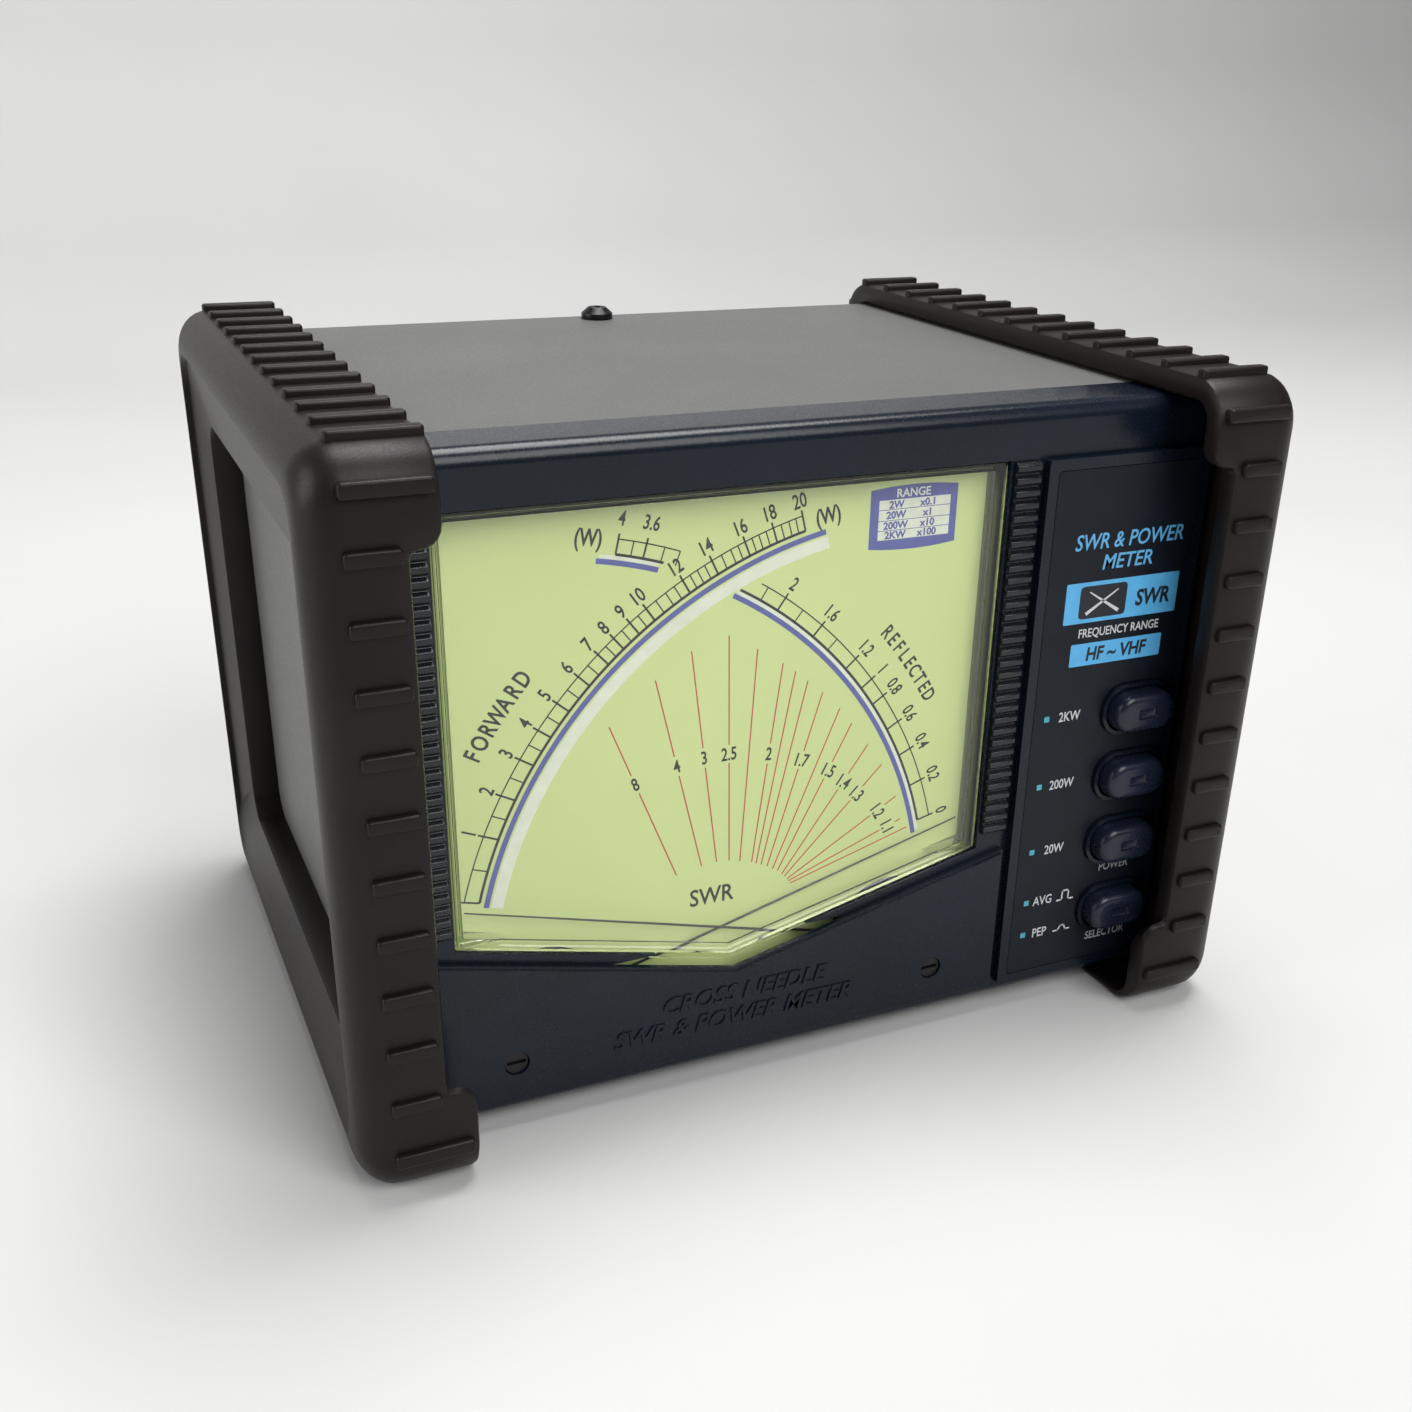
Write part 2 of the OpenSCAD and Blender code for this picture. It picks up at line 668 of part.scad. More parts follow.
module dial_lamps() {
    for (x = [lens_cx - 22, lens_cx + 22]) {
        color("#f4efe0") {
            rod_y(2.2, x, z_lens_top - 12, y_case + 5, y_case_floor - 4);
            translate([x, y_case + 5, z_lens_top - 12]) sphere(r = 2.2);
        }
        color("#8a8d90") rod_y(3.2, x, z_lens_top - 12, y_case_floor - 5, y_case_floor);
    }
}

// Everything on one movement is drawn for the forward side and mirrored for the other
module at_pivot(mirrored) {
    mirror_meter(mirrored) translate([lens_cx + pivot_x, 0, z_pivot]) children();
}
module pointer(mirrored, y_blade) {
    tail = 3.6;
    color("#15130f") at_pivot(mirrored) difference() {
        union() {
            rotate([0, rest_angle, 0]) along_y(y_blade, blade_t) polygon([[-pointer_len, 0.18],
                [-pointer_len + 6, 0.22], [-hub_r, 0.6], [tail, 0.9], [tail, -0.9],
                [-hub_r, -0.6], [-pointer_len + 6, -0.22], [-pointer_len, -0.18]]);
            rod_y(hub_r, 0, 0, y_blade, y_blade + 0.5);
        }
        rod_y(arbor_r, 0, 0, y_blade - 1, y_blade + 1);
    }
}
module coil(mirrored) {
    color("#b5622c") at_pivot(mirrored) {
        rotate([0, -swing / 2, 0]) difference() {
            box([-coil_out, y_coil, -coil_bar / 2], [coil_out, y_coil_back, coil_bar / 2]);
            box([-coil_in, y_coil + coil_end_t, -coil_bar],
                [coil_in, y_coil_back - coil_end_t, coil_bar]);
        }
        rod_y(arbor_r, 0, 0, y_bridge + bridge_t + 0.15 - 0.5, y_coil + eps);
        rod_y(arbor_r, 0, 0, y_coil_back - eps, y_coil_back + 2);
    }
}
module core(mirrored) {
    color("#4a4d52") at_pivot(mirrored) rod_y(core_r, 0, 0, y_core, y_core + core_len);
}
module yoke(mirrored) {
    web = 2;
    color("#9a9da0") at_pivot(mirrored) {
        difference() {
            rod_y(yoke_out, 0, 0, y_core, y_core + core_len);
            rod_y(yoke_in, 0, 0, y_core - 1, y_core + core_len + 1);
        }
        for (s = [-1, 1]) difference() {
            box([-web, y_core + 1, s > 0 ? 0 : -yoke_in - 0.3],
                [web, y_core + core_len - 1, s > 0 ? yoke_in + 0.3 : 0]);
            rod_y(core_r, 0, 0, y_core, y_core + core_len);
        }
    }
}
module bridge(mirrored) {
    reach = post_at + 1.8;
    color("#c2a45a") at_pivot(mirrored) difference() {
        union() {
            rotate([0, -bridge_angle, 0]) along_y(y_bridge, bridge_t) union() {
                round_rect(-reach, -1.8, reach, 1.8, 1.7);
                circle(3);
            }
            rod_y(bush_r, 0, 0, y_lever - 0.3, y_bridge + bridge_t + 0.15);
        }
        rod_y(arbor_r + running, 0, 0, y_bridge + bridge_t + 0.15 - 0.6, y_bridge + bridge_t + 1);
    }
}
// Flat spiral spring from the arbor out to the zero lever's post
module hairspring(mirrored) {
    turns = 4;
    r0 = 1.1;
    r1 = 4;
    steps = 24 * turns;
    ribbon = 0.16;
    function spiral(t, side) = (r0 + (r1 - r0) * t + side * ribbon / 2)
        * [cos(270 + 360 * turns * t), sin(270 + 360 * turns * t)];
    color("#c98f4a") at_pivot(mirrored) along_y(y_spring, spring_t) polygon(concat(
        [for (i = [0 : steps]) spiral(i / steps, -1)],
        [for (i = [steps : -1 : 0]) spiral(i / steps, 1)]));
}
module zero_lever(mirrored) {
    slot_half = pin_r + 2 * running;
    pin_at = adjuster_reach - pin_offset;
    post_at = 4.5;
    color("#b9bcc0") at_pivot(mirrored) {
        difference() {
            union() {
                rod_y(bush_r + 1.5, 0, 0, y_lever, y_lever + lever_t);
                rotate([0, -adjuster_dir, 0])
                    box([0, y_lever, -1.4], [pin_at + 1.2, y_lever + lever_t, 1.4]);
                box([-0.6, y_lever, -post_at - 0.4], [0.6, y_lever + lever_t, 0]);
            }
            rod_y(bush_r + running, 0, 0, y_lever - 1, y_lever + 1);
            rotate([0, -adjuster_dir, 0]) box([pin_at - 0.8, y_lever - 1, -slot_half],
                [pin_at + 3, y_lever + 1, slot_half]);
        }
        rod_y(0.4, 0, -post_at, y_lever + lever_t - eps, y_spring + spring_t);
    }
}
module zero_adjuster(mirrored) {
    y_head = y_plate + 0.5;
    color("#101214") at_pivot(mirrored) {
        difference() {
            union() {
                rod_y(adjuster_r - running, adjuster_dx, -adjuster_dz, y_head, y_bezel + 1);
                rod_y(adjuster_r + 0.6, adjuster_dx, -adjuster_dz, y_bezel + 0.95, y_bezel + 1.3);
            }
            box([adjuster_dx - 1.5, y_head - 1, -adjuster_dz - 0.3],
                [adjuster_dx + 1.5, y_head + 0.8, -adjuster_dz + 0.3]);
        }
        rotate([0, -adjuster_dir, 0])
            rod_y(pin_r, adjuster_reach - pin_offset, 0, y_bezel + 1.3 - eps, y_lever + lever_t + 0.15);
    }
}
y_reflected_blade = y_forward_blade + blade_gap;
module forward_pointer() { pointer(false, y_forward_blade); }
module reflected_pointer() { pointer(true, y_reflected_blade); }
module forward_coil() { coil(false); }
module reflected_coil() { coil(true); }
module forward_core() { core(false); }
module reflected_core() { core(true); }
module forward_yoke() { yoke(false); }
module reflected_yoke() { yoke(true); }
module forward_bridge() { bridge(false); }
module reflected_bridge() { bridge(true); }
module forward_hairspring() { hairspring(false); }
module reflected_hairspring() { hairspring(true); }
module forward_zero_lever() { zero_lever(false); }
module reflected_zero_lever() { zero_lever(true); }
module forward_zero_adjuster() { zero_adjuster(false); }
module reflected_zero_adjuster() { zero_adjuster(true); }

// ---- electronics ----
module main_board() {
    color("#3f6b3a") difference() {
        box([board_left, y_board, board_low], [board_right, y_board + board_t, board_high]);
        for (x = board_screw_x, z = board_screw_z) rod_y(1.5, x, z, y_board - 1, y_board + board_t + 1);
    }
    color("#e9e7df") for (x = board_screw_x, z = board_screw_z) difference() {
        rod_y(3, x, z, y_case_back, y_board);
        rod_y(1.5, x, z, y_case_back + 1, y_board + 1);
    }
}
// Electrolytic capacitors, integrated circuits, trimmers and a connector on the board
module board_components() {
    y0 = y_board + board_t;
    color("#2a2c30") {
        for (i = [0 : 3]) rod_y(2.5, board_left + 14 + i * 9, board_high - 9, y0, y0 + 9);
        for (i = [0 : 2]) box([board_left + 12 + i * 24, y0, board_low + 20],
            [board_left + 31 + i * 24 - 0.01, y0 + 3.4, board_low + 26.4]);
        for (i = [0 : 5]) box([board_left + 12 + i * 11, y0, board_low + 8],
            [board_left + 18.6 + i * 11, y0 + 4.6, board_low + 14.6]);
        box([board_right - 22, y0, board_high - 16], [board_right - 8, y0 + 6, board_high - 10.2]);
    }
}

// ---- coupler and rear sockets ----
module coupler_box() {
    t = coupler_t;
    x = coupler_w / 2;
    high = coupler_low + coupler_h;
    color("#c3c6c8") difference() {
        box([-x, y_coupler, coupler_low], [x, y_panel, high]);
        box([-x + t, y_coupler + t, coupler_low + t], [x - t, y_panel - t, high + 1]);
        for (s = [-1, 1]) {
            rod_y(socket_r + 0.3, s * socket_gap / 2, socket_zc, y_panel - 2, y_panel + 1);
            for (dx = [-flange_hole, flange_hole], dz = [-flange_hole, flange_hole])
                rod_y(1.6, s * socket_gap / 2 + dx, socket_zc + dz, y_panel - 2, y_panel + 1);
        }
    }
}
module coupler_lid() {
    x = coupler_w / 2;
    high = coupler_low + coupler_h;
    color("#c3c6c8") difference() {
        box([-x, y_coupler, high], [x, y_panel - 1, high + coupler_t]);
        for (dx = [-x / 2, x / 2]) translate([dx, y_panel - coupler_d / 2, high - 1]) cylinder(r = 4, h = 3);
    }
}
module coupler_board() {
    x = coupler_w / 2 - coupler_t - 1;
    z0 = coupler_low + coupler_t;
    color("#3f6b3a") {
        box([-x, y_coupler + coupler_t + 0.5, z0 + 2.5],
            [x, y_conductor - conductor_r - 1.2, z0 + 2.5 + board_t]);
        for (dx = [-x + 5, x - 5]) translate([dx, y_coupler + coupler_t + 5, z0]) cylinder(r = 2.5, h = 2.5);
    }
}
// Through line: from one socket contact across the box to the other
module line_conductor() {
    half = socket_gap / 2;
    color("#b87b3e") {
        rod_x(conductor_r, y_conductor, socket_zc, -half - conductor_r, half + conductor_r);
        for (s = [-1, 1]) rod_y(conductor_r, s * half, socket_zc, y_conductor, y_panel - 4.5);
    }
}
sleeve_r = conductor_r + 1.6;
module line_sleeve() {
    color("#efe9da") difference() {
        rod_x(sleeve_r, y_conductor, socket_zc, -9, 9);
        rod_x(conductor_r, y_conductor, socket_zc, -10, 10);
    }
}
module sampling_toroid() {
    color("#4c5058") translate([-4, y_conductor, socket_zc]) rotate([0, 90, 0])
        rotate_extrude() translate([sleeve_r, 0]) square([5, 8]);
}
module socket_shell(s) {
    x = s * socket_gap / 2;
    half = socket_flange / 2;
    color("#c9ccd0") difference() {
        union() {
            along_y(y_rear, 1.6) round_rect(x - half, socket_zc - half, x + half, socket_zc + half, 1.5);
            rod_y(socket_r - 0.5, x, socket_zc, y_rear + 1.5, y_rear + socket_len);
            rod_y(socket_r, x, socket_zc, y_rear + 4, y_rear + socket_len - 0.8);
            rod_y(socket_r - 0.4, x, socket_zc, y_panel - 3.5, y_rear + eps);
        }
        rod_y(insulator_r, x, socket_zc, y_panel - 5, y_rear + socket_len + 1);
        for (dx = [-flange_hole, flange_hole], dz = [-flange_hole, flange_hole])
            rod_y(1.6, x + dx, socket_zc + dz, y_rear - 1, y_rear + 3);
    }
}
module transmitter_socket() { socket_shell(1); }
module antenna_socket() { socket_shell(-1); }
module socket_insulators() {
    color("#efe9da") for (s = [-1, 1]) difference() {
        rod_y(insulator_r, s * socket_gap / 2, socket_zc, y_panel - 3.5, y_rear + 6);
        rod_y(contact_r, s * socket_gap / 2, socket_zc, y_panel - 5, y_rear + 7);
    }
}
module socket_contacts() {
    color("#c9a24e") for (s = [-1, 1]) difference() {
        rod_y(contact_r, s * socket_gap / 2, socket_zc, y_panel - 4.5, y_rear + 11);
        rod_y(contact_bore_r, s * socket_gap / 2, socket_zc, y_rear + 1, y_rear + 12);
    }
}
module socket_screws() {
    color("#b8babd") for (s = [-1, 1], dx = [-flange_hole, flange_hole], dz = [-flange_hole, flange_hole])
        difference() {
            union() {
                rod_y(2.8, s * socket_gap / 2 + dx, socket_zc + dz, y_rear + 1.6, y_rear + 3.4);
                rod_y(1.5, s * socket_gap / 2 + dx, socket_zc + dz, y_panel - coupler_t - 2, y_rear + 1.6 + eps);
            }
            box([s * socket_gap / 2 + dx - 1.6, y_rear + 2.4, socket_zc + dz - 0.35],
                [s * socket_gap / 2 + dx + 1.6, y_rear + 4, socket_zc + dz + 0.35]);
            box([s * socket_gap / 2 + dx - 0.35, y_rear + 2.4, socket_zc + dz - 1.6],
                [s * socket_gap / 2 + dx + 0.35, y_rear + 4, socket_zc + dz + 1.6]);
        }
}
module power_jack() {
    color("#1a1a1c") difference() {
        union() {
            rod_y(jack_r + 1.5, jack_x, jack_z, y_rear, y_rear + 1.5);
            rod_y(jack_r, jack_x, jack_z, y_panel - 12, y_rear + eps);
        }
        rod_y(2.75, jack_x, jack_z, y_panel - 8, y_rear + 3);
    }
    color("#d0d3d6") rod_y(1.05, jack_x, jack_z, y_panel - 8 - eps, y_rear - 0.5);
}
module power_jack_nut() {
    color("#c9ccd0") difference() {
        along_y(y_panel - 2.2, 2.2) translate([jack_x, jack_z]) circle(r = jack_r + 2.2, $fn = 6);
        rod_y(jack_r, jack_x, jack_z, y_panel - 3, y_rear);
    }
}

guard_left();
guard_right();
front_bezel();
lower_fascia();
rib_strip_left();
rib_strip_right();
control_panel();
panel_label();
top_cover();
cabinet_screws();
chassis();
rear_panel();
meter_lens();
dial_plate();
meter_case();
dial_lamps();
forward_pointer();
forward_coil();
forward_core();
forward_yoke();
forward_bridge();
forward_hairspring();
forward_zero_lever();
forward_zero_adjuster();
reflected_pointer();
reflected_coil();
reflected_core();
reflected_yoke();
reflected_bridge();
reflected_hairspring();
reflected_zero_lever();
reflected_zero_adjuster();
range_2kw_button();
range_200w_button();
range_20w_button();
selector_button();
range_2kw_plunger();
range_200w_plunger();
range_20w_plunger();
selector_plunger();
range_switch_bank();
selector_switch();
switch_bracket();
switch_board();
main_board();
board_components();
coupler_box();
coupler_lid();
coupler_board();
line_conductor();
line_sleeve();
sampling_toroid();
transmitter_socket();
antenna_socket();
socket_insulators();
socket_contacts();
socket_screws();
power_jack();
power_jack_nut();
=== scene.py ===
"""A cross-needle SWR and power meter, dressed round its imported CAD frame.
Lengths are in mm until MM is applied."""
import json
from math import atan2, cos, degrees, hypot, pi, radians, sin

import bmesh
import bpy
from mathutils import Matrix, Vector


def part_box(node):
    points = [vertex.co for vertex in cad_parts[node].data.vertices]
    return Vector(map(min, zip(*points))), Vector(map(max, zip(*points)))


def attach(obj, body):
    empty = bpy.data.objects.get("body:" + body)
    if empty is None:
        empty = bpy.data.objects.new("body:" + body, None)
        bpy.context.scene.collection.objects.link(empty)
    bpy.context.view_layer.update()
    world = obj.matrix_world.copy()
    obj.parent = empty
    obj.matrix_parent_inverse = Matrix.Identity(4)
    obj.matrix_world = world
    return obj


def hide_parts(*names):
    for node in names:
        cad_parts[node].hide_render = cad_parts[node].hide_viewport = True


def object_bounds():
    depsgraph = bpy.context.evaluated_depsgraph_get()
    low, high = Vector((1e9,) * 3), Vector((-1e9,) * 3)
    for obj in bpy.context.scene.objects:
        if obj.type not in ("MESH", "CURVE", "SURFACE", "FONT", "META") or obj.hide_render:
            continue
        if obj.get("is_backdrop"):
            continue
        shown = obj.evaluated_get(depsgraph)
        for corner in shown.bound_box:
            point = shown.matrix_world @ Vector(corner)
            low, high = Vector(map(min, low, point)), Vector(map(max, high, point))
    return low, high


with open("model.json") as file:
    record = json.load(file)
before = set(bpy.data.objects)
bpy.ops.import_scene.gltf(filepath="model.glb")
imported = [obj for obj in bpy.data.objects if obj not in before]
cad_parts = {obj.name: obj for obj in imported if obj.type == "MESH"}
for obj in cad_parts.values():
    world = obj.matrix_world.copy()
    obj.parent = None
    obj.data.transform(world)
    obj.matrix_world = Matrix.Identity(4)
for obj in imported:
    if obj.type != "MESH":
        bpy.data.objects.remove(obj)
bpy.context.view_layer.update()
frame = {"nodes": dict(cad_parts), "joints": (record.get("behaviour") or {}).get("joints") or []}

MM = 0.001
into_scene = bpy.context.scene.collection.objects.link

# ----------------------------------------------------------
# Camera. A compact camera held above and to the left of the case, with the picture
# shifted a little so that the verticals stay nearly upright.
# ----------------------------------------------------------
CAMERA_AT = (-105.8, -251.6, 154.0)
CAMERA_TURN = (64.907, -1.229, -24.494)
SENSOR = 36.0
LENS = 40.12
SHIFT = (-0.0264, 0.0602)

camera_data = bpy.data.cameras.new("camera")
camera_data.sensor_width = SENSOR
camera_data.lens = LENS
camera_data.shift_x, camera_data.shift_y = SHIFT
camera_data.clip_start = 0.01
camera = bpy.data.objects.new("camera", camera_data)
camera.location = [v * MM for v in CAMERA_AT]
camera.rotation_euler = [radians(v) for v in CAMERA_TURN]
into_scene(camera)
bpy.context.scene.camera = camera

# ----------------------------------------------------------
# Chassis, brackets and boards. Folded zinc-plated steel with glass-epoxy boards on it,
# all inside the cabinet and seen only through its openings.
# ----------------------------------------------------------


def box_mm(node):
    """The low and high corners of a CAD node's box, in mm."""
    return [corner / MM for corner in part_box(node)]


def srgb(code):
    """An sRGB hex colour as the linear colour that shaders take."""
    parts = [int(code[i:i + 2], 16) / 255 for i in (1, 3, 5)]
    return tuple(v / 12.92 if v <= 0.04045 else ((v + 0.055) / 1.055) ** 2.4 for v in parts) + (1.0,)


def add(material, kind, inputs=None, **settings):
    """Adds a node with its settings; an input takes a number, a colour or another node's output."""
    node = material.node_tree.nodes.new(kind)
    for name, value in settings.items():
        setattr(node, name, value)
    for socket, value in (inputs or {}).items():
        if isinstance(value, bpy.types.NodeSocket):
            material.node_tree.links.new(value, node.inputs[socket])
        else:
            node.inputs[socket].default_value = value
    return node


def bare_material(name):
    """A material with no nodes yet."""
    material = bpy.data.materials.new(name)
    material.use_nodes = True
    material.node_tree.nodes.clear()
    return material


def finish(name, light, dark, patch, roughness, grain, depth, sockets=None, stretch=(1, 1, 1)):
    """A real surface: its colour wanders from light to dark in patches of a size in mm, its roughness
    wanders with it, and a grain of a size and depth in mm lies over it, drawn out where it is brushed."""
    material = bare_material(name)
    place = add(material, "ShaderNodeTexCoord").outputs["Object"]
    drawn = add(material, "ShaderNodeMapping", {"Vector": place, "Scale": stretch}).outputs["Vector"]
    patches = add(material, "ShaderNodeTexNoise", {"Vector": place, "Scale": 1 / (patch * MM), "Detail": 4.0})
    grains = add(material, "ShaderNodeTexNoise", {"Vector": drawn, "Scale": 1 / (grain * MM), "Detail": 2.0})
    spread = {"Value": patches.outputs["Fac"], "From Min": 0.32, "From Max": 0.68}
    mottle = add(material, "ShaderNodeMapRange", spread)
    wander = add(material, "ShaderNodeMapRange", {
        "Value": grains.outputs["Fac"], "From Min": 0.25, "From Max": 0.75,
        "To Min": roughness[0], "To Max": roughness[1]})
    colour = add(material, "ShaderNodeMix", {
        "Factor": mottle.outputs["Result"], 6: srgb(light), 7: srgb(dark)}, data_type="RGBA")
    bump = add(material, "ShaderNodeBump", {"Height": grains.outputs["Fac"], "Distance": depth * MM})
    skin = add(material, "ShaderNodeBsdfPrincipled", {
        "Base Color": colour.outputs[2], "Roughness": wander.outputs["Result"],
        "Normal": bump.outputs["Normal"], **(sockets or {})})
    add(material, "ShaderNodeOutputMaterial", {"Surface": skin.outputs["BSDF"]})
    return material


METAL = {"Metallic": 1.0}


def dress(material, *nodes):
    """Gives CAD nodes that keep their shape their finish."""
    for node in nodes:
        data = frame["nodes"][node].data
        data.materials.clear()
        data.materials.append(material)


# Zinc-plated steel, rolled and blue-passivated: a grey metal with a faint cool bloom.
zinc_steel = finish("zinc_plated_steel_rolled", "#a9adae", "#8d9294", 9, (0.32, 0.46), 0.5, 0.004,
                    METAL, (1, 6, 1))
dress(zinc_steel, "chassis", "switch_bracket")

# Tinned steel, folded into a screening box: brighter and softer than zinc, with a crystal bloom.
tinplate = finish("tinned_steel_folded", "#b9bcba", "#9b9f9e", 5, (0.24, 0.4), 0.9, 0.003, METAL)
dress(tinplate, "coupler_box", "coupler_lid")

# Glass-epoxy board under green solder mask: the weave shows as a fine ripple under a wet-looking skin.
solder_mask = finish("glass_epoxy_solder_mask", "#20593a", "#184a30", 3, (0.2, 0.32), 0.4, 0.01,
                     {"Coat Weight": 0.4, "Coat Roughness": 0.12})
dress(solder_mask, "main_board", "switch_board", "coupler_board")

# Moulded epoxy and phenolic component bodies: matt black with a slight dust bloom.
moulded_phenolic = finish("moulded_phenolic_black", "#232323", "#161616", 4, (0.45, 0.62), 0.3, 0.01)
dress(moulded_phenolic, "board_components", "range_switch_bank", "selector_switch")

# Pressed ferrite: dark grey ceramic, a little gritty.
ferrite = finish("pressed_ferrite_ceramic", "#35353a", "#26262a", 1.5, (0.5, 0.7), 0.25, 0.02)
dress(ferrite, "sampling_toroid")

# Turned PTFE: waxy white, soft highlights.
turned_ptfe = finish("turned_ptfe_white", "#e6e4dc", "#d8d5cb", 4, (0.34, 0.48), 0.5, 0.006,
                     {"Subsurface Weight": 0.2, "Subsurface Scale": 0.002})
dress(turned_ptfe, "line_sleeve")

# Copper, drawn or wound bare: warm metal, dulled in patches.
drawn_copper = finish("drawn_copper", "#c47a52", "#9c5a3a", 3, (0.22, 0.4), 0.3, 0.006, METAL)
dress(drawn_copper, "line_conductor", "forward_coil", "reflected_coil")

# Ivory polyacetal switch plungers: pale, faintly waxy.
ivory_acetal = finish("moulded_acetal_ivory", "#e2dcc8", "#d6cfb8", 3, (0.3, 0.42), 0.4, 0.005)
dress(ivory_acetal, "range_2kw_plunger", "range_200w_plunger", "range_20w_plunger", "selector_plunger")

# ----------------------------------------------------------
# Rear panel. Folded steel sheet in the cabinet's grey enamel, screen-printed in white
# beside each connector and screwed to the chassis.
# ----------------------------------------------------------


def stand_on(piece, body, slot, *nodes):
    """Says what body a piece moves with and what CAD nodes it stands for; slot is not used."""
    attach(piece, body)
    if nodes:
        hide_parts(*nodes)
    return piece


def make(name, bm, material, body, slot, *nodes, crease=32):
    """Turns a finished bmesh into a smooth-shaded piece with its edges crisp above the crease angle."""
    bmesh.ops.recalc_face_normals(bm, faces=bm.faces)
    mesh = bpy.data.meshes.new(name)
    bm.to_mesh(mesh)
    bm.free()
    mesh.materials.append(material)
    mesh.shade_smooth()
    mesh.set_sharp_from_angle(angle=radians(crease))
    piece = bpy.data.objects.new(name, mesh)
    into_scene(piece)
    return stand_on(piece, body, slot, *nodes)


def softened(node, radius, material, slot, body="cabinet", steps=2, corner=28):
    """A copy of a CAD node whose sharp edges are rounded off as the press or the mould leaves them."""
    bm = bmesh.new()
    bm.from_mesh(frame["nodes"][node].data)
    bmesh.ops.remove_doubles(bm, verts=bm.verts, dist=1e-6)
    bmesh.ops.dissolve_limit(bm, angle_limit=radians(0.6), verts=bm.verts, edges=bm.edges)
    sharp = [e for e in bm.edges if len(e.link_faces) == 2 and e.calc_face_angle(0.0) > radians(corner)]
    bmesh.ops.bevel(bm, geom=sharp, offset=radius * MM, offset_type="OFFSET", segments=steps, profile=0.5,
                    affect="EDGES", clamp_overlap=True)
    bmesh.ops.remove_doubles(bm, verts=bm.verts, dist=1e-7)
    piece = make(node + "_finished", bm, material, body, slot, node, crease=corner)
    flat = piece.modifiers.new("flat_faces_first", "WEIGHTED_NORMAL")
    flat.keep_sharp = True
    return piece


FONT_PROBE = bpy.data.curves.new("font_probe", "FONT")
FONT_PROBE.body = "H"
probe = bpy.data.objects.new("font_probe", FONT_PROBE)
into_scene(probe)
bpy.context.view_layer.update()
CAP_SHARE = probe.dimensions.y          # height of a capital in a font of size 1
bpy.data.objects.remove(probe)


def letters(bm, words, x, z, height, front, back, turn=0.0, narrow=0.78, slant=0.0, bold=0.0,
            align="CENTER", facing=-1):
    """Adds raised or printed words; x, z is the middle of their capitals, front and back their Y."""
    font = bpy.data.curves.new("letters", "FONT")
    font.body = words
    font.align_x = align
    font.size = height * MM / CAP_SHARE
    font.shear = slant
    font.offset = bold * MM
    font.resolution_u = 3
    font.extrude = abs(back - front) * MM / 2
    sheet = bpy.data.objects.new("letters", font)
    into_scene(sheet)
    bpy.context.view_layer.update()
    mesh = bpy.data.meshes.new_from_object(sheet.evaluated_get(bpy.context.evaluated_depsgraph_get()))
    bpy.data.objects.remove(sheet)
    a = radians(turn)
    drop = Matrix.Translation((0, -height * MM / 2, 0))
    way = -facing                       # -1 faces the front of the set, +1 the back
    turned = Matrix(((cos(a) * narrow * way, -sin(a) * way, 0, x * MM),
                     (0, 0, facing, (front + back) / 2 * MM),
                     (sin(a) * narrow, cos(a), 0, z * MM), (0, 0, 0, 1)))
    mesh.transform(turned @ drop)
    bm.from_mesh(mesh)
    bpy.data.meshes.remove(mesh)


# Grey enamel sprayed on steel and stoved: a fine leather-like texture that breaks the highlight up.
grey_enamel = finish("grey_enamel_sprayed_fine_texture", "#646463", "#60605f", 22, (0.42, 0.58), 0.42, 0.035,
                     {"Specular IOR Level": 0.35})
REAR_SKIN = box_mm("rear_panel")[1].y
softened("rear_panel", 0.25, grey_enamel, "grey_paint")


def screen_ink(name, light, dark, patch, roughness, sockets=None):
    """Screen-printed ink: an even film with hardly any grain."""
    return finish("screen_ink_" + name, light, dark, patch, roughness, 0.2, 0.003, sockets)


# Screen-printed white ink: flat, opaque and a little chalky.
white_ink = screen_ink("white", "#d6d8da", "#c8cbce", 2, (0.5, 0.6))
INK = 0.03
REAR_WORD_RISE = 3.4                    # from a connector's top to the middle of its word
rear_print = bmesh.new()
for words, node, height in (("TRANSMITTER", "transmitter_socket", 2.6), ("ANTENNA", "antenna_socket", 2.6),
                            ("DC IN", "power_jack_nut", 2.4)):
    low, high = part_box(node)
    letters(rear_print, words, (low.x + high.x) / 2 / MM, high.z / MM + REAR_WORD_RISE, height,
            REAR_SKIN, REAR_SKIN + INK, facing=1)
make("rear_panel_print", rear_print, white_ink, "cabinet", "grey_paint")

# ----------------------------------------------------------
# Coaxial sockets. Each is a nickel-plated brass body with a square flange and a cut
# thread, a moulded insulator and a gold-plated contact, held by four screws.
# ----------------------------------------------------------


def rounded_rectangle(u0, u1, v0, v1, radius, corner_steps=6, side_steps=None):
    """Points round a rounded rectangle in its own plane, from the low side of u, anticlockwise.
    side_steps gives the shares of the two v sides at which further points lie."""
    shares = side_steps or []
    points = []
    corners = ((u1 - radius, v0 + radius, -90), (u1 - radius, v1 - radius, 0),
               (u0 + radius, v1 - radius, 90), (u0 + radius, v0 + radius, 180))
    for k, (u, v, start) in enumerate(corners):
        for i in range(corner_steps + 1):
            a = radians(start + 90 * i / corner_steps)
            points.append((u + radius * cos(a), v + radius * sin(a)))
        if k == 0:
            points += [(u1, v0 + radius + (v1 - v0 - 2 * radius) * s) for s in shares]
        if k == 2:
            points += [(u0, v0 + radius + (v1 - v0 - 2 * radius) * s) for s in reversed(shares)]
    return points


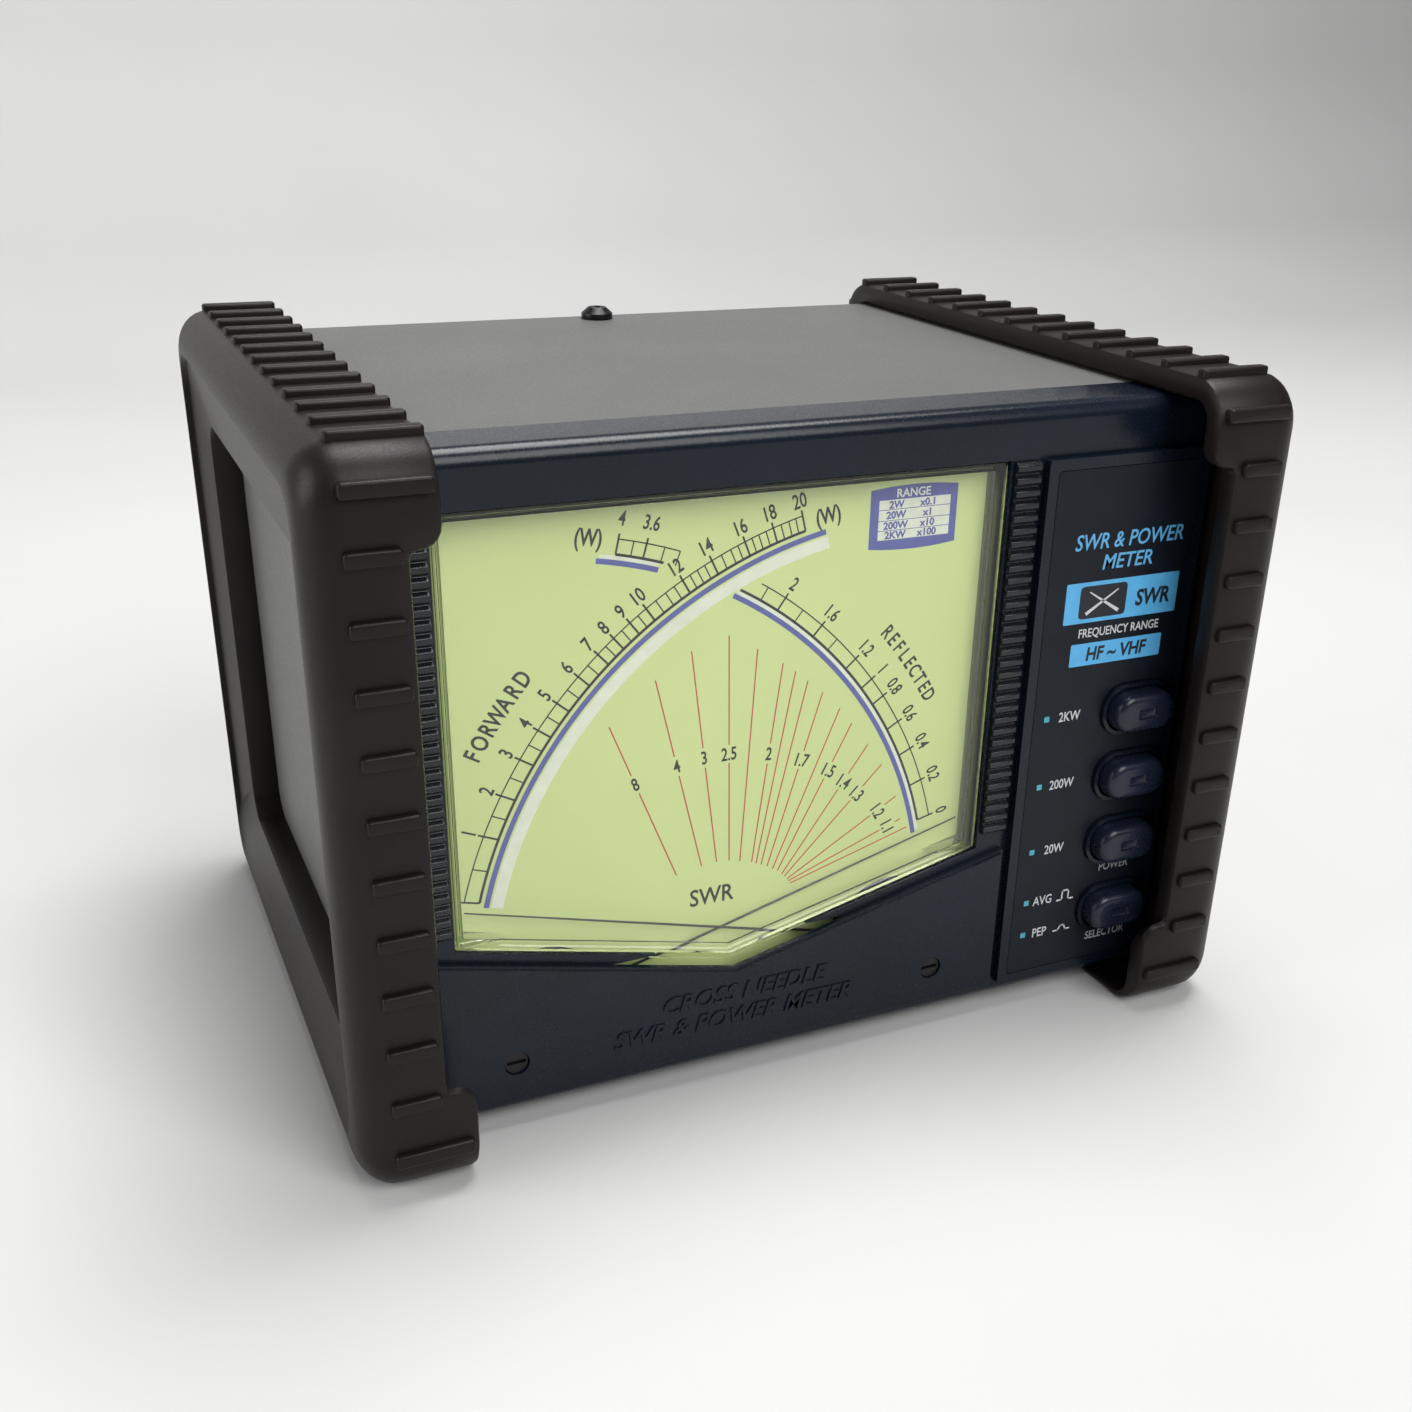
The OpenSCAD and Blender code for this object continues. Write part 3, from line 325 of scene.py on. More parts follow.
def loft(bm, rings, loop=False, caps=True):
    """Skins a row of rings of (x, y, z) points in mm; loop joins the last to the first."""
    rows = [[bm.verts.new(Vector(p) * MM) for p in ring] for ring in rings]
    count = len(rows[0])
    pairs = list(zip(rows, rows[1:])) + ([(rows[-1], rows[0])] if loop else [])
    for one, two in pairs:
        for i in range(count):
            j = (i + 1) % count
            bm.faces.new((one[i], one[j], two[j], two[i]))
    if caps and not loop:
        bm.faces.new(rows[0])
        bm.faces.new(rows[-1])


def ring_at(x, z, radius, y, count=64):
    """A circle of points round a socket's axis at a depth."""
    return [(x + radius * cos(2 * pi * i / count), y, z + radius * sin(2 * pi * i / count))
            for i in range(count)]


THREAD_PITCH = 25.4 / 24                # 24 turns to the inch
THREAD_CREST = 7.94                     # 5/8 inch over the crests
THREAD_DEPTH = 0.55
THREAD_STEPS = 6                        # rings to each turn
FLANGE_T = 1.6
FLANGE_ROUND = 2.2
BARREL_BORE = 6.35
ROUND_STEPS = 64


def socket_body(node):
    """The plated body of one socket: a barrel with a helical thread on a rounded square flange."""
    low, high = box_mm(node)
    x, z = (low.x + high.x) / 2, (low.z + high.z) / 2
    half = (high.x - low.x) / 2
    flange_back = REAR_SKIN
    flange_front = flange_back + FLANGE_T
    root = THREAD_CREST - THREAD_DEPTH
    bm = bmesh.new()
    rings = [ring_at(x, z, BARREL_BORE, flange_back), ring_at(x, z, BARREL_BORE, high.y - 0.4),
             ring_at(x, z, BARREL_BORE + 0.4, high.y)]
    rings.append(ring_at(x, z, root - 0.1, high.y))
    start, end = high.y - 0.35, flange_front + 1.4
    steps = int((start - end) / THREAD_PITCH * THREAD_STEPS)
    for k in range(steps + 1):
        y = start - (start - end) * k / steps
        fade = min(1.0, 3 * k / steps, 6 * (steps - k) / steps)
        ring = []
        for i in range(ROUND_STEPS):
            a = 2 * pi * i / ROUND_STEPS
            phase = (y / THREAD_PITCH + i / ROUND_STEPS) % 1.0
            tooth = 1 - abs(2 * phase - 1)
            r = root + THREAD_DEPTH * min(1.0, 1.25 * tooth) * fade
            ring.append((x + r * cos(a), y, z + r * sin(a)))
        rings.append(ring)
    rings.append(ring_at(x, z, root, end - 0.2))
    rings.append(ring_at(x, z, root, flange_front + 0.25))
    rings.append(ring_at(x, z, root + 0.25, flange_front))
    for inset, y in ((0.3, flange_front), (0.08, flange_front - 0.1), (0, flange_front - 0.35),
                     (0, flange_back)):
        square = []
        for i in range(ROUND_STEPS):
            a = 2 * pi * i / ROUND_STEPS
            reach = (half - inset) / max(abs(cos(a)), abs(sin(a)))
            corner = (half - inset) * 2 ** 0.5 - FLANGE_ROUND * (2 ** 0.5 - 1)
            reach = min(reach, corner)
            square.append((x + reach * cos(a), y, z + reach * sin(a)))
        rings.append(square)
    loft(bm, rings, loop=True)
    return make(node + "_turned", bm, nickel, "cabinet", "nickel_plate", node, crease=40)


# Nickel plate on turned brass: warm bright metal with fine turning marks.
nickel = finish("nickel_plate_turned", "#c6c1b6", "#aaa59a", 6, (0.16, 0.3), 0.25, 0.004, METAL, (1, 5, 1))
socket_body("transmitter_socket")
socket_body("antenna_socket")
softened("socket_screws", 0.12, nickel, "nickel_plate")
softened("power_jack_nut", 0.2, nickel, "nickel_plate")

# Moulded phenolic insulator: buff, dense and satin.
buff_phenolic = finish("moulded_phenolic_buff", "#a98d63", "#957a54", 3, (0.34, 0.46), 0.4, 0.008)
softened("socket_insulators", 0.15, buff_phenolic, "socket_insulator")

# Gold flash on the spring contacts.
gold_flash = finish("gold_flash_on_brass", "#d9b25a", "#c39a45", 2, (0.16, 0.26), 0.3, 0.003, METAL)
softened("socket_contacts", 0.1, gold_flash, "contact_gold")

# Moulded black polyamide jack: satin, with a fine spark-eroded grain.
jack_black = finish("moulded_polyamide_black", "#1b1b1c", "#131314", 3, (0.36, 0.5), 0.3, 0.01)
softened("power_jack", 0.2, jack_black, "jack_black")

# ----------------------------------------------------------
# Front bezel. A moulded ABS frame, navy black with a sprayed satin skin, that closes the
# front of the cabinet and carries the meter, the rib strips and the control panel.
# ----------------------------------------------------------
# Navy ABS, moulded and lightly spark-eroded: the fine grain turns the highlight into a satin band.
navy_abs = finish("moulded_abs_navy_satin", "#101a27", "#0c141f", 18, (0.2, 0.3), 0.32, 0.012,
                  {"Specular IOR Level": 0.3})
softened("front_bezel", 0.45, navy_abs, "navy_plastic")

# ----------------------------------------------------------
# Meter case and movements. A white case holds two moving-coil movements: an iron core in a
# steel yoke, a brass bridge, a bronze hairspring and a zero lever for each needle.
# ----------------------------------------------------------
# White ABS case: faintly warm, satin.
case_white = finish("moulded_abs_white", "#dcdccf", "#cfd0c2", 8, (0.35, 0.48), 0.4, 0.008)
dress(case_white, "meter_case")

# Lamp bulbs: blown glass, slightly uneven.
lamp_glass = finish("blown_glass_lamp", "#f4f1e6", "#e9e4d4", 3, (0.04, 0.1), 1.5, 0.01,
                    {"Transmission Weight": 0.85, "IOR": 1.5})
dress(lamp_glass, "dial_lamps")

# Soft iron and steel of the magnet circuit: ground, oiled, dark grey.
ground_iron = finish("ground_soft_iron", "#7d7b77", "#67655f", 3, (0.3, 0.45), 0.25, 0.004, METAL, (5, 1, 1))
dress(ground_iron, "forward_core", "reflected_core", "forward_yoke", "reflected_yoke")

# Blanked brass: bright yellow with fine rolling lines.
blanked_brass = finish("blanked_brass", "#c9a24a", "#b48c3c", 3, (0.22, 0.34), 0.25, 0.004, METAL, (1, 1, 5))
for side in ("forward", "reflected"):
    softened(side + "_bridge", 0.08, blanked_brass, "movement_brass")

# Phosphor bronze strip wound into a spiral.
spring_bronze = finish("phosphor_bronze_strip", "#b0774a", "#96613a", 2, (0.22, 0.34), 0.2, 0.003, METAL)
dress(spring_bronze, "forward_hairspring", "reflected_hairspring")

# Plated steel zero levers.
lever_steel = finish("plated_steel_lever", "#a3a5a6", "#8c8f90", 2, (0.24, 0.36), 0.25, 0.003, METAL)
dress(lever_steel, "forward_zero_lever", "reflected_zero_lever")

# ----------------------------------------------------------
# Dial plate. Printed aluminium sheet in a pale green that stays easy to read when lit, with
# two curved watt scales, a fan of SWR lines where the needles cross, and a range table.
# ----------------------------------------------------------
DIAL_SKIN = box_mm("dial_plate")[0].y
# Printed green lacquer on sheet: softly satin, with a barely visible drift in its shade.
dial_green = finish("printed_lacquer_pale_green", "#c8d494", "#c0cc8b", 60, (0.42, 0.52), 0.5, 0.003)
dress(dial_green, "dial_plate")


def on_arc(centre, radius, angle):
    """A point of the dial at an angle, in degrees, round a centre."""
    return centre[0] + radius * cos(radians(angle)), centre[1] + radius * sin(radians(angle))


def ribbon(bm, one, two, front, back):
    """A closed flat strip between two rows of (x, z) points, as thick as a film of ink or sheet."""
    a, b, c, d = ([bm.verts.new(Vector((x, y, z)) * MM) for x, z in row]
                  for y, row in ((front, one), (front, two), (back, one), (back, two)))
    for i in range(len(a) - 1):
        bm.faces.new((a[i], a[i + 1], b[i + 1], b[i]))
        bm.faces.new((c[i + 1], c[i], d[i], d[i + 1]))
        bm.faces.new((a[i + 1], a[i], c[i], c[i + 1]))
        bm.faces.new((b[i], b[i + 1], d[i + 1], d[i]))
    for i in (0, -1):
        bm.faces.new((a[i], b[i], d[i], c[i]))


def dial_line(bm, start, end, width, layer=1):
    """A straight printed line of a width between two points of the dial."""
    dx, dz = end[0] - start[0], end[1] - start[1]
    long = hypot(dx, dz)
    u, v = -dz / long * width / 2, dx / long * width / 2
    ribbon(bm, [(start[0] + u, start[1] + v), (end[0] + u, end[1] + v)],
           [(start[0] - u, start[1] - v), (end[0] - u, end[1] - v)], DIAL_SKIN - INK * layer, DIAL_SKIN)


def dial_arc(bm, centre, radius, start, end, width, layer=1):
    """A curved printed line of a width, from one angle to another."""
    steps = max(2, int(abs(end - start) / 0.75))
    angles = [start + (end - start) * i / steps for i in range(steps + 1)]
    ribbon(bm, [on_arc(centre, radius + width / 2, a) for a in angles],
           [on_arc(centre, radius - width / 2, a) for a in angles], DIAL_SKIN - INK * layer, DIAL_SKIN)


def dial_word(bm, words, x, z, height, turn=0.0, bold=0.0, narrow=0.72):
    """Printed words on the dial, centred on a point."""
    letters(bm, words, x, z, height, DIAL_SKIN - INK, DIAL_SKIN, turn, narrow, bold=bold)


def dial_word_round(bm, words, centre, radius, first, last, height, bold):
    """Printed words that follow an arc, one letter at a time."""
    for i, letter in enumerate(words):
        angle = first + (last - first) * (i + 0.5) / len(words)
        x, z = on_arc(centre, radius, angle)
        dial_word(bm, letter, x, z, height, angle - 90, bold)


black_print_and_painted_shade, violet_print, white_print, red_print = (bmesh.new() for _ in range(4))

# Forward watts: centre and radii of the scale, and the angle at which each whole watt falls.
FORWARD_CENTRE = (16.3, 19.7)
FORWARD_INNER, FORWARD_OUTER, FORWARD_FIGURES = 72.4, 74.8, 77.2
FORWARD_VIOLET, FORWARD_PALE = 71.2, 69.5
FORWARD_WATTS = (165.6, 157.2, 152.0, 147.3, 143.4, 139.7, 135.9, 132.6, 130.1, 127.6, 125.2,
                 122.4, 120.0, 118.0, 116.0, 113.5, 111.6, 109.8, 107.9, 105.9, 104.1)
FORWARD_FIGURED = (1, 2, 3, 4, 5, 6, 7, 8, 9, 10, 12, 14, 16, 18, 20)
FINE, MEDIUM, HEAVY = 0.2, 0.3, 0.42
dial_arc(black_print_and_painted_shade, FORWARD_CENTRE, FORWARD_INNER, FORWARD_WATTS[0], FORWARD_WATTS[-1], HEAVY)
dial_arc(black_print_and_painted_shade, FORWARD_CENTRE, FORWARD_OUTER, FORWARD_WATTS[0], FORWARD_WATTS[-1], FINE)
dial_arc(violet_print, FORWARD_CENTRE, FORWARD_VIOLET, FORWARD_WATTS[0] + 0.6, 101.5, 0.85)
dial_arc(white_print, FORWARD_CENTRE, FORWARD_PALE, FORWARD_WATTS[0] + 0.6, 101.3, 1.9)
for watts, angle in enumerate(FORWARD_WATTS):
    figured = watts in FORWARD_FIGURED or watts == 0
    reach = FORWARD_OUTER + (0.9 if figured else 0)
    dial_line(black_print_and_painted_shade, on_arc(FORWARD_CENTRE, FORWARD_INNER, angle),
              on_arc(FORWARD_CENTRE, reach, angle), MEDIUM if figured else FINE)
    if watts < len(FORWARD_WATTS) - 1:
        between = (angle + FORWARD_WATTS[watts + 1]) / 2
        dial_line(black_print_and_painted_shade, on_arc(FORWARD_CENTRE, FORWARD_INNER, between),
                  on_arc(FORWARD_CENTRE, FORWARD_OUTER, between), FINE)
    if watts in FORWARD_FIGURED:
        x, z = on_arc(FORWARD_CENTRE, FORWARD_FIGURES, angle)
        dial_word(black_print_and_painted_shade, str(watts), x, z, 2.2, angle - 90, 0.05)
dial_word_round(black_print_and_painted_shade, "FORWARD", FORWARD_CENTRE, 81.6, 149.8, 138.8, 2.6, 0.075)
dial_word(black_print_and_painted_shade, "(W)", 2.4, 92.0, 2.4, 10, 0.08)
dial_word(black_print_and_painted_shade, "(W)", -35.4, 92.3, 2.4, -9, 0.08)

# Reflected watts: the same with the other centre, in two pieces either side of the forward scale.
REFLECTED_CENTRE = (-46.25, 20.8)
REFLECTED_INNER, REFLECTED_OUTER, REFLECTED_FIGURES = 70.2, 72.45, 74.9
REFLECTED_VIOLET, REFLECTED_PALE = 69.0, 69.7
REFLECTED_WATTS = {4.0: 77.8, 3.8: 75.9, 3.6: 74.3, 3.4: 72.0, 3.2: 70.0, 2.2: 57.4, 2.0: 54.6, 1.8: 51.6,
                   1.6: 48.1, 1.4: 45.1, 1.2: 41.1, 1.0: 37.2, 0.8: 34.1, 0.6: 29.5, 0.4: 24.9, 0.2: 19.7,
                   0.0: 14.0}
REFLECTED_FIGURED = {4.0: "4", 3.6: "3.6", 2.0: "2", 1.6: "1.6", 1.2: "1.2", 1.0: "1", 0.8: "0.8", 0.6: "0.6",
                     0.4: "0.4", 0.2: "0.2", 0.0: "0"}
for radius, start, end, width, ink in (
        (REFLECTED_INNER, 77.8, 71.6, HEAVY, black_print_and_painted_shade), (REFLECTED_OUTER, 77.8, 70.0, FINE, black_print_and_painted_shade),
        (REFLECTED_INNER, 60.6, 14.0, HEAVY, black_print_and_painted_shade), (REFLECTED_OUTER, 58.4, 14.0, FINE, black_print_and_painted_shade),
        (REFLECTED_VIOLET, 80.1, 72.0, 0.8, violet_print), (REFLECTED_VIOLET, 61.1, 12.3, 0.8, violet_print),
        (REFLECTED_PALE, 79.8, 72.2, 0.55, white_print), (REFLECTED_PALE, 60.9, 12.6, 0.55, white_print)):
    dial_arc(ink, REFLECTED_CENTRE, radius, start, end, width)
for watts, angle in REFLECTED_WATTS.items():
    figure = REFLECTED_FIGURED.get(watts)
    reach = REFLECTED_OUTER + (0.8 if figure else 0)
    dial_line(black_print_and_painted_shade, on_arc(REFLECTED_CENTRE, REFLECTED_INNER, angle),
              on_arc(REFLECTED_CENTRE, reach, angle), MEDIUM if figure else FINE)
    if figure:
        x, z = on_arc(REFLECTED_CENTRE, REFLECTED_FIGURES + (0.6 if watts > 3 else 0), angle)
        dial_word(black_print_and_painted_shade, figure, x, z, 2.05, angle - 90, 0.05)
dial_word_round(black_print_and_painted_shade, "REFLECTED", REFLECTED_CENTRE, 79.1, 41.2, 29.4, 2.3, 0.06)

# The SWR fan: each line's ends, and where its figure breaks it. Infinity stands on end.
SWR_LINES = (
    ("8", (-21.9, 36.0), (-32.8, 63.1), 53.0), ("4", (-17.6, 36.8), (-25.4, 69.5), 54.9),
    ("3", (-15.0, 37.1), (-19.6, 73.3), 55.6), ("2.5", (-12.8, 36.9), (-13.5, 75.0), 55.6),
    ("", (-10.9, 36.4), (-8.7, 72.3), 0), ("2", (-8.8, 35.8), (-4.3, 69.4), 54.5),
    ("", (-8.0, 35.4), (-2.1, 67.8), 0), ("", (-7.1, 35.0), (0.1, 65.9), 0),
    ("1.7", (-6.0, 34.5), (2.8, 63.6), 52.5), ("", (-5.0, 33.8), (6.0, 60.4), 0),
    ("1.5", (-4.1, 33.3), (8.3, 57.5), 49.9), ("1.4", (-3.3, 32.5), (11.5, 53.3), 47.4),
    ("1.3", (-2.8, 32.0), (14.3, 49.3), 44.8), ("1.2", (-2.3, 31.4), (17.4, 43.0), 41.0),
    ("1.1", (-2.0, 31.0), (18.5, 38.6), 37.7), ("", (-1.7, 30.5), (19.8, 36.8), 0))
SWR_GAP = 1.7
for figure, inner, outer, height in SWR_LINES:
    dx, dz = outer[0] - inner[0], outer[1] - inner[1]
    long = hypot(dx, dz)
    ux, uz = dx / long, dz / long
    if figure:
        x = inner[0] + dx * (height - inner[1]) / dz
        gap = SWR_GAP if len(figure) == 1 else SWR_GAP * 0.9
        dial_line(red_print, inner, (x - ux * gap, height - uz * gap), FINE)
        dial_line(red_print, (x + ux * gap, height + uz * gap), outer, FINE)
        turn = degrees(atan2(dz, dx)) - 90
        dial_word(black_print_and_painted_shade, figure, x, height, 2.1, turn, 0.05)
    else:
        dial_line(red_print, inner, outer, FINE)
dial_word(black_print_and_painted_shade, "SWR", -15.8, 31.2, 2.9, 0, 0.05, 0.86)

# The range table: a violet plate with bowed ends, and a pale panel of ruled rows in it.
TABLE_X, TABLE_Z, TABLE_BOW = (9.5, 24.75), (85.9, 95.0), 0.5
TABLE_STEPS = 12
top_edge, low_edge = [], []
for i in range(TABLE_STEPS + 1):
    share = i / TABLE_STEPS
    x = TABLE_X[0] + (TABLE_X[1] - TABLE_X[0]) * share
    bow = TABLE_BOW * (1 - (2 * share - 1) ** 2)
    top_edge.append((x, TABLE_Z[1] + bow))
    low_edge.append((x, TABLE_Z[0] - bow))
ribbon(violet_print, top_edge, low_edge, DIAL_SKIN - INK, DIAL_SKIN)
PANEL_X, PANEL_ROWS = (11.0, 23.5), (93.35, 91.85, 90.15, 88.6, 87.15)
RULE = 0.1                              # width of a ruled line


def table_bar(bm, low, high, front, back):
    """A printed bar across the table, from one height to another."""
    ribbon(bm, [(x, high) for x in PANEL_X], [(x, low) for x in PANEL_X], front, back)


table_panel = bmesh.new()
table_bar(table_panel, PANEL_ROWS[-1], PANEL_ROWS[0], DIAL_SKIN - 2 * INK, DIAL_SKIN)
table_words = bmesh.new()
for row, (range_name, factor) in enumerate((("2W", "x0.1"), ("20W", "x1"), ("200W", "x10"), ("2KW", "x100"))):
    z = (PANEL_ROWS[row] + PANEL_ROWS[row + 1]) / 2
    for words, x in ((range_name, 14.0), (factor, 19.6)):
        letters(table_words, words, x, z, 1.08, DIAL_SKIN - 3 * INK, DIAL_SKIN - INK, 0, 1.05, bold=0.05)
    if row:
        table_bar(table_words, PANEL_ROWS[row] - RULE / 2, PANEL_ROWS[row] + RULE / 2,
                  DIAL_SKIN - 3 * INK, DIAL_SKIN - INK)
letters(table_panel, "RANGE", 16.9, 94.3, 1.25, DIAL_SKIN - 2 * INK, DIAL_SKIN, 0, 1.0, bold=0.03)

# A thin black line down each side of the print, where the lens walls stand on the dial: painted shade for the
# dark edge each wall shows there.
for x in (-57.9, 30.3):
    dial_line(black_print_and_painted_shade, (x, 20.0), (x, 97.2), RULE)

# Screen inks on the dial: flat and matt, each a hair thicker than the lacquer. The black also makes the
# painted shade lines down the sides.
black_ink_and_painted_shade = screen_ink("black", "#11130f", "#0c0e0a", 2, (0.5, 0.62), {"Specular IOR Level": 0.2})
violet_ink = screen_ink("violet", "#4d53a3", "#464b98", 2, (0.48, 0.6))
pale_ink = screen_ink("pale", "#dcdfd6", "#d2d6cb", 2, (0.48, 0.6))
red_ink = screen_ink("red", "#c02d1c", "#b02718", 2, (0.48, 0.6))
for name, bm, ink in (("dial_print_black_and_painted_shade", black_print_and_painted_shade, black_ink_and_painted_shade),
                      ("dial_print_violet", violet_print, violet_ink),
                      ("dial_print_pale", white_print, pale_ink), ("dial_print_red", red_print, red_ink),
                      ("dial_table_panel", table_panel, pale_ink),
                      ("dial_table_words", table_words, violet_ink)):
    make(name, bm, ink, "cabinet", "dial_face")

# ----------------------------------------------------------
# Needles. Thin aluminium, painted black and staked into a hub with a short tail and a
# balance weight; each swings with the coil it is fixed to.
# ----------------------------------------------------------
# Black lacquer on the needles: near black, faintly glossy so that the edge catches the light.
needle_black = finish("black_lacquer_needle", "#20201e", "#171716", 2, (0.3, 0.42), 0.2, 0.002)
# distance from the pivot, and width there
NEEDLE_STATIONS = ((-3.3, 0.6), (-2.4, 0.8), (-1.2, 0.8), (1.6, 0.6), (12.0, 0.48), (45.0, 0.36),
                   (70.0, 0.24))
NEEDLE_SIDES = 8
NEEDLE_T = 0.3
TIP_WIDTH = 0.2
TIP_GAP = 0.45                          # how far short of the CAD pointer's tip it ends
HUB_R = 1.5
BALANCE_AT = 2.7                        # how far behind the pivot the balance weight sits


def needle(side):
    """One needle with its hub, in place of the plain CAD pointer, riding on its movement."""
    node = side + "_pointer"
    joint = next(j for j in frame["joints"] if j["name"] == side + "_pointer_swing")
    low, high = box_mm(node)
    pivot = Vector(joint["pos_m"]) / MM
    tip_x = low.x if side == "forward" else high.x
    tip = Vector((tip_x - pivot.x, high.z - pivot.z - 0.1))
    along = tip.normalized()
    length = tip.length - TIP_GAP
    across = Vector((-along.y, along.x))
    front, back = low.y, low.y + NEEDLE_T
    stations = [s for s in NEEDLE_STATIONS if s[0] < length - 1] + [(length, TIP_WIDTH)]
    bm = bmesh.new()
    rings = []
    thick = (back - front) / 2
    flat = cos(radians(180 / NEEDLE_SIDES))
    for distance, width in stations:
        middle = Vector((pivot.x, pivot.z)) + along * distance
        ring = []
        for i in range(NEEDLE_SIDES):
            a = radians(360 / NEEDLE_SIDES * (i + 0.5))
            spot = middle + across * (width / 2 * cos(a) / flat)
            ring.append((spot.x, (front + back) / 2 + thick * sin(a) / flat, spot.y))
        rings.append(ring)
    loft(bm, rings)
    hub = [(HUB_R - 0.2, front), (HUB_R, front + 0.1), (HUB_R, back), (HUB_R - 0.15, back + 0.1)]
    loft(bm, [ring_at(pivot.x, pivot.z, r, y, 32) for r, y in hub])
    weight = Vector((pivot.x, pivot.z)) - along * BALANCE_AT
    loft(bm, [ring_at(weight.x, weight.y, r, y, 16) for r, y in
              ((0.4, front), (0.55, front + 0.08), (0.55, back), (0.45, back + 0.06))])
    return make(node + "_drawn", bm, needle_black, side + "_movement", "pointer_black", node)


needle("forward")
needle("reflected")

# ----------------------------------------------------------
# Lens. Injection-moulded clear acrylic with a shallow V at its lower edge, welded to the
# case; its walls run back to the dial and gather the light at their edges.
# ----------------------------------------------------------
clear_acrylic = bare_material("moulded_clear_acrylic")
acrylic_place = add(clear_acrylic, "ShaderNodeTexCoord").outputs["Object"]
acrylic_flow = add(clear_acrylic, "ShaderNodeTexNoise", {
    "Vector": acrylic_place, "Scale": 1 / (30 * MM), "Detail": 1.0})
acrylic_wave = add(clear_acrylic, "ShaderNodeBump", {
    "Height": acrylic_flow.outputs["Fac"], "Distance": 0.02 * MM})
acrylic_smear = add(clear_acrylic, "ShaderNodeMapRange", {
    "Value": acrylic_flow.outputs["Fac"], "To Min": 0.0, "To Max": 0.012})
acrylic_skin = add(clear_acrylic, "ShaderNodeBsdfPrincipled", {
    "Base Color": srgb("#fbfdf9"), "Transmission Weight": 1.0, "IOR": 1.49, "Specular IOR Level": 0.35,
    "Roughness": acrylic_smear.outputs["Result"], "Normal": acrylic_wave.outputs["Normal"]})
acrylic_path = add(clear_acrylic, "ShaderNodeLightPath")
acrylic_shade = add(clear_acrylic, "ShaderNodeBsdfTransparent", {"Color": srgb("#f4f6f0")})
acrylic_mix = add(clear_acrylic, "ShaderNodeMixShader", {
    0: acrylic_path.outputs["Is Shadow Ray"], 1: acrylic_skin.outputs["BSDF"],
    2: acrylic_shade.outputs["BSDF"]})
add(clear_acrylic, "ShaderNodeOutputMaterial", {"Surface": acrylic_mix.outputs["Shader"]})
softened("meter_lens", 0.35, clear_acrylic, "clear_acrylic", steps=3)

# ----------------------------------------------------------
# Lower fascia. A navy ABS cover over the feet of the movements, cut to the lens's V, with
# the instrument's description raised on it and a hole over each zero adjuster.
# ----------------------------------------------------------
softened("lower_fascia", 0.3, navy_abs, "navy_plastic")
FASCIA_SKIN = box_mm("lower_fascia")[0].y
RELIEF = 0.28
raised = bmesh.new()
for words, x, z in (("CROSS NEEDLE", -12.4, 15.9), ("SWR & POWER METER", -13.8, 11.4)):
    letters(raised, words, x, z, 2.9, FASCIA_SKIN - RELIEF, FASCIA_SKIN + 0.1, 0, 1.0, 0.3, 0.06)
make("fascia_raised_words", raised, navy_abs, "cabinet", "navy_plastic")

# Moulded black acetal adjuster screws.
adjuster_black = finish("moulded_acetal_black", "#0d0d0e", "#080809", 2, (0.5, 0.62), 0.3, 0.004)
for side in ("forward", "reflected"):
    softened(side + "_zero_adjuster", 0.12, adjuster_black, "adjuster_black", side + "_adjuster")

# ----------------------------------------------------------
# Rib strips. Comb-like strips of black ABS beside the lens, each rib a rounded bar.
# ----------------------------------------------------------
# Black ABS, moulded against a polished tool: the crests catch thin bright lines.
rib_black = finish("moulded_abs_black_ribbed", "#10151c", "#0b0f14", 6, (0.24, 0.34), 0.3, 0.004)
for side in ("left", "right"):
    softened("rib_strip_" + side, 0.16, rib_black, "rib_plastic")

# ----------------------------------------------------------
# Control panel. A raised navy ABS plate with a collar round each button, and a printed
# polycarbonate film let into it.
# ----------------------------------------------------------
softened("control_panel", 0.22, navy_abs, "navy_plastic")
# Printed polycarbonate film: deep navy, with a very fine emboss that holds a soft sheen.
label_film = finish("printed_polycarbonate_film", "#101823", "#0c121b", 6, (0.36, 0.48), 0.35, 0.008,
                    {"Specular IOR Level": 0.25})
softened("panel_label", 0.06, label_film, "label_film", steps=1)
FILM_SKIN = box_mm("panel_label")[0].y

sky_print, grey_print, badge_print, badge_dark, square_print, dim_print = (bmesh.new() for _ in range(6))


def film_word(bm, words, x, z, height, layer=1, align="CENTER", narrow=0.8, bold=0.0, slant=0.0):
    """Printed words on the film; a higher layer lies on the ink below it."""
    letters(bm, words, x, z, height, FILM_SKIN - INK * layer, FILM_SKIN, 0, narrow, slant, bold, align)


def film_patch(bm, x0, x1, z0, z1, layer=1, radius=0.25):
    """A printed patch with slightly rounded corners."""
    outline = rounded_rectangle(x0, x1, z0, z1, radius, 3)
    loft(bm, [[(u, y, v) for u, v in outline] for y in (FILM_SKIN - INK * layer, FILM_SKIN)])


film_word(sky_print, "SWR & POWER", 54.3, 85.0, 2.5, narrow=0.86, bold=0.04, slant=0.15)
film_word(sky_print, "METER", 54.3, 81.4, 2.4, narrow=0.95, bold=0.04, slant=0.15)
film_patch(badge_print, 43.0, 65.3, 71.4, 78.3)
film_patch(badge_dark, 45.8, 55.0, 72.1, 77.6, 2, 0.7)
film_word(badge_dark, "SWR", 60.3, 74.6, 2.6, 2, narrow=0.85, bold=0.11, slant=0.1)
film_word(grey_print, "FREQUENCY RANGE", 54.3, 69.6, 1.45, narrow=0.82, bold=0.02)
film_patch(badge_print, 45.1, 63.3, 63.9, 67.8)
film_word(badge_dark, "HF ~ VHF", 54.2, 65.85, 2.2, 2, narrow=0.9, bold=0.09, slant=0.1)
BUTTON_NAMES = {"range_2kw": "2KW", "range_200w": "200W", "range_20w": "20W"}
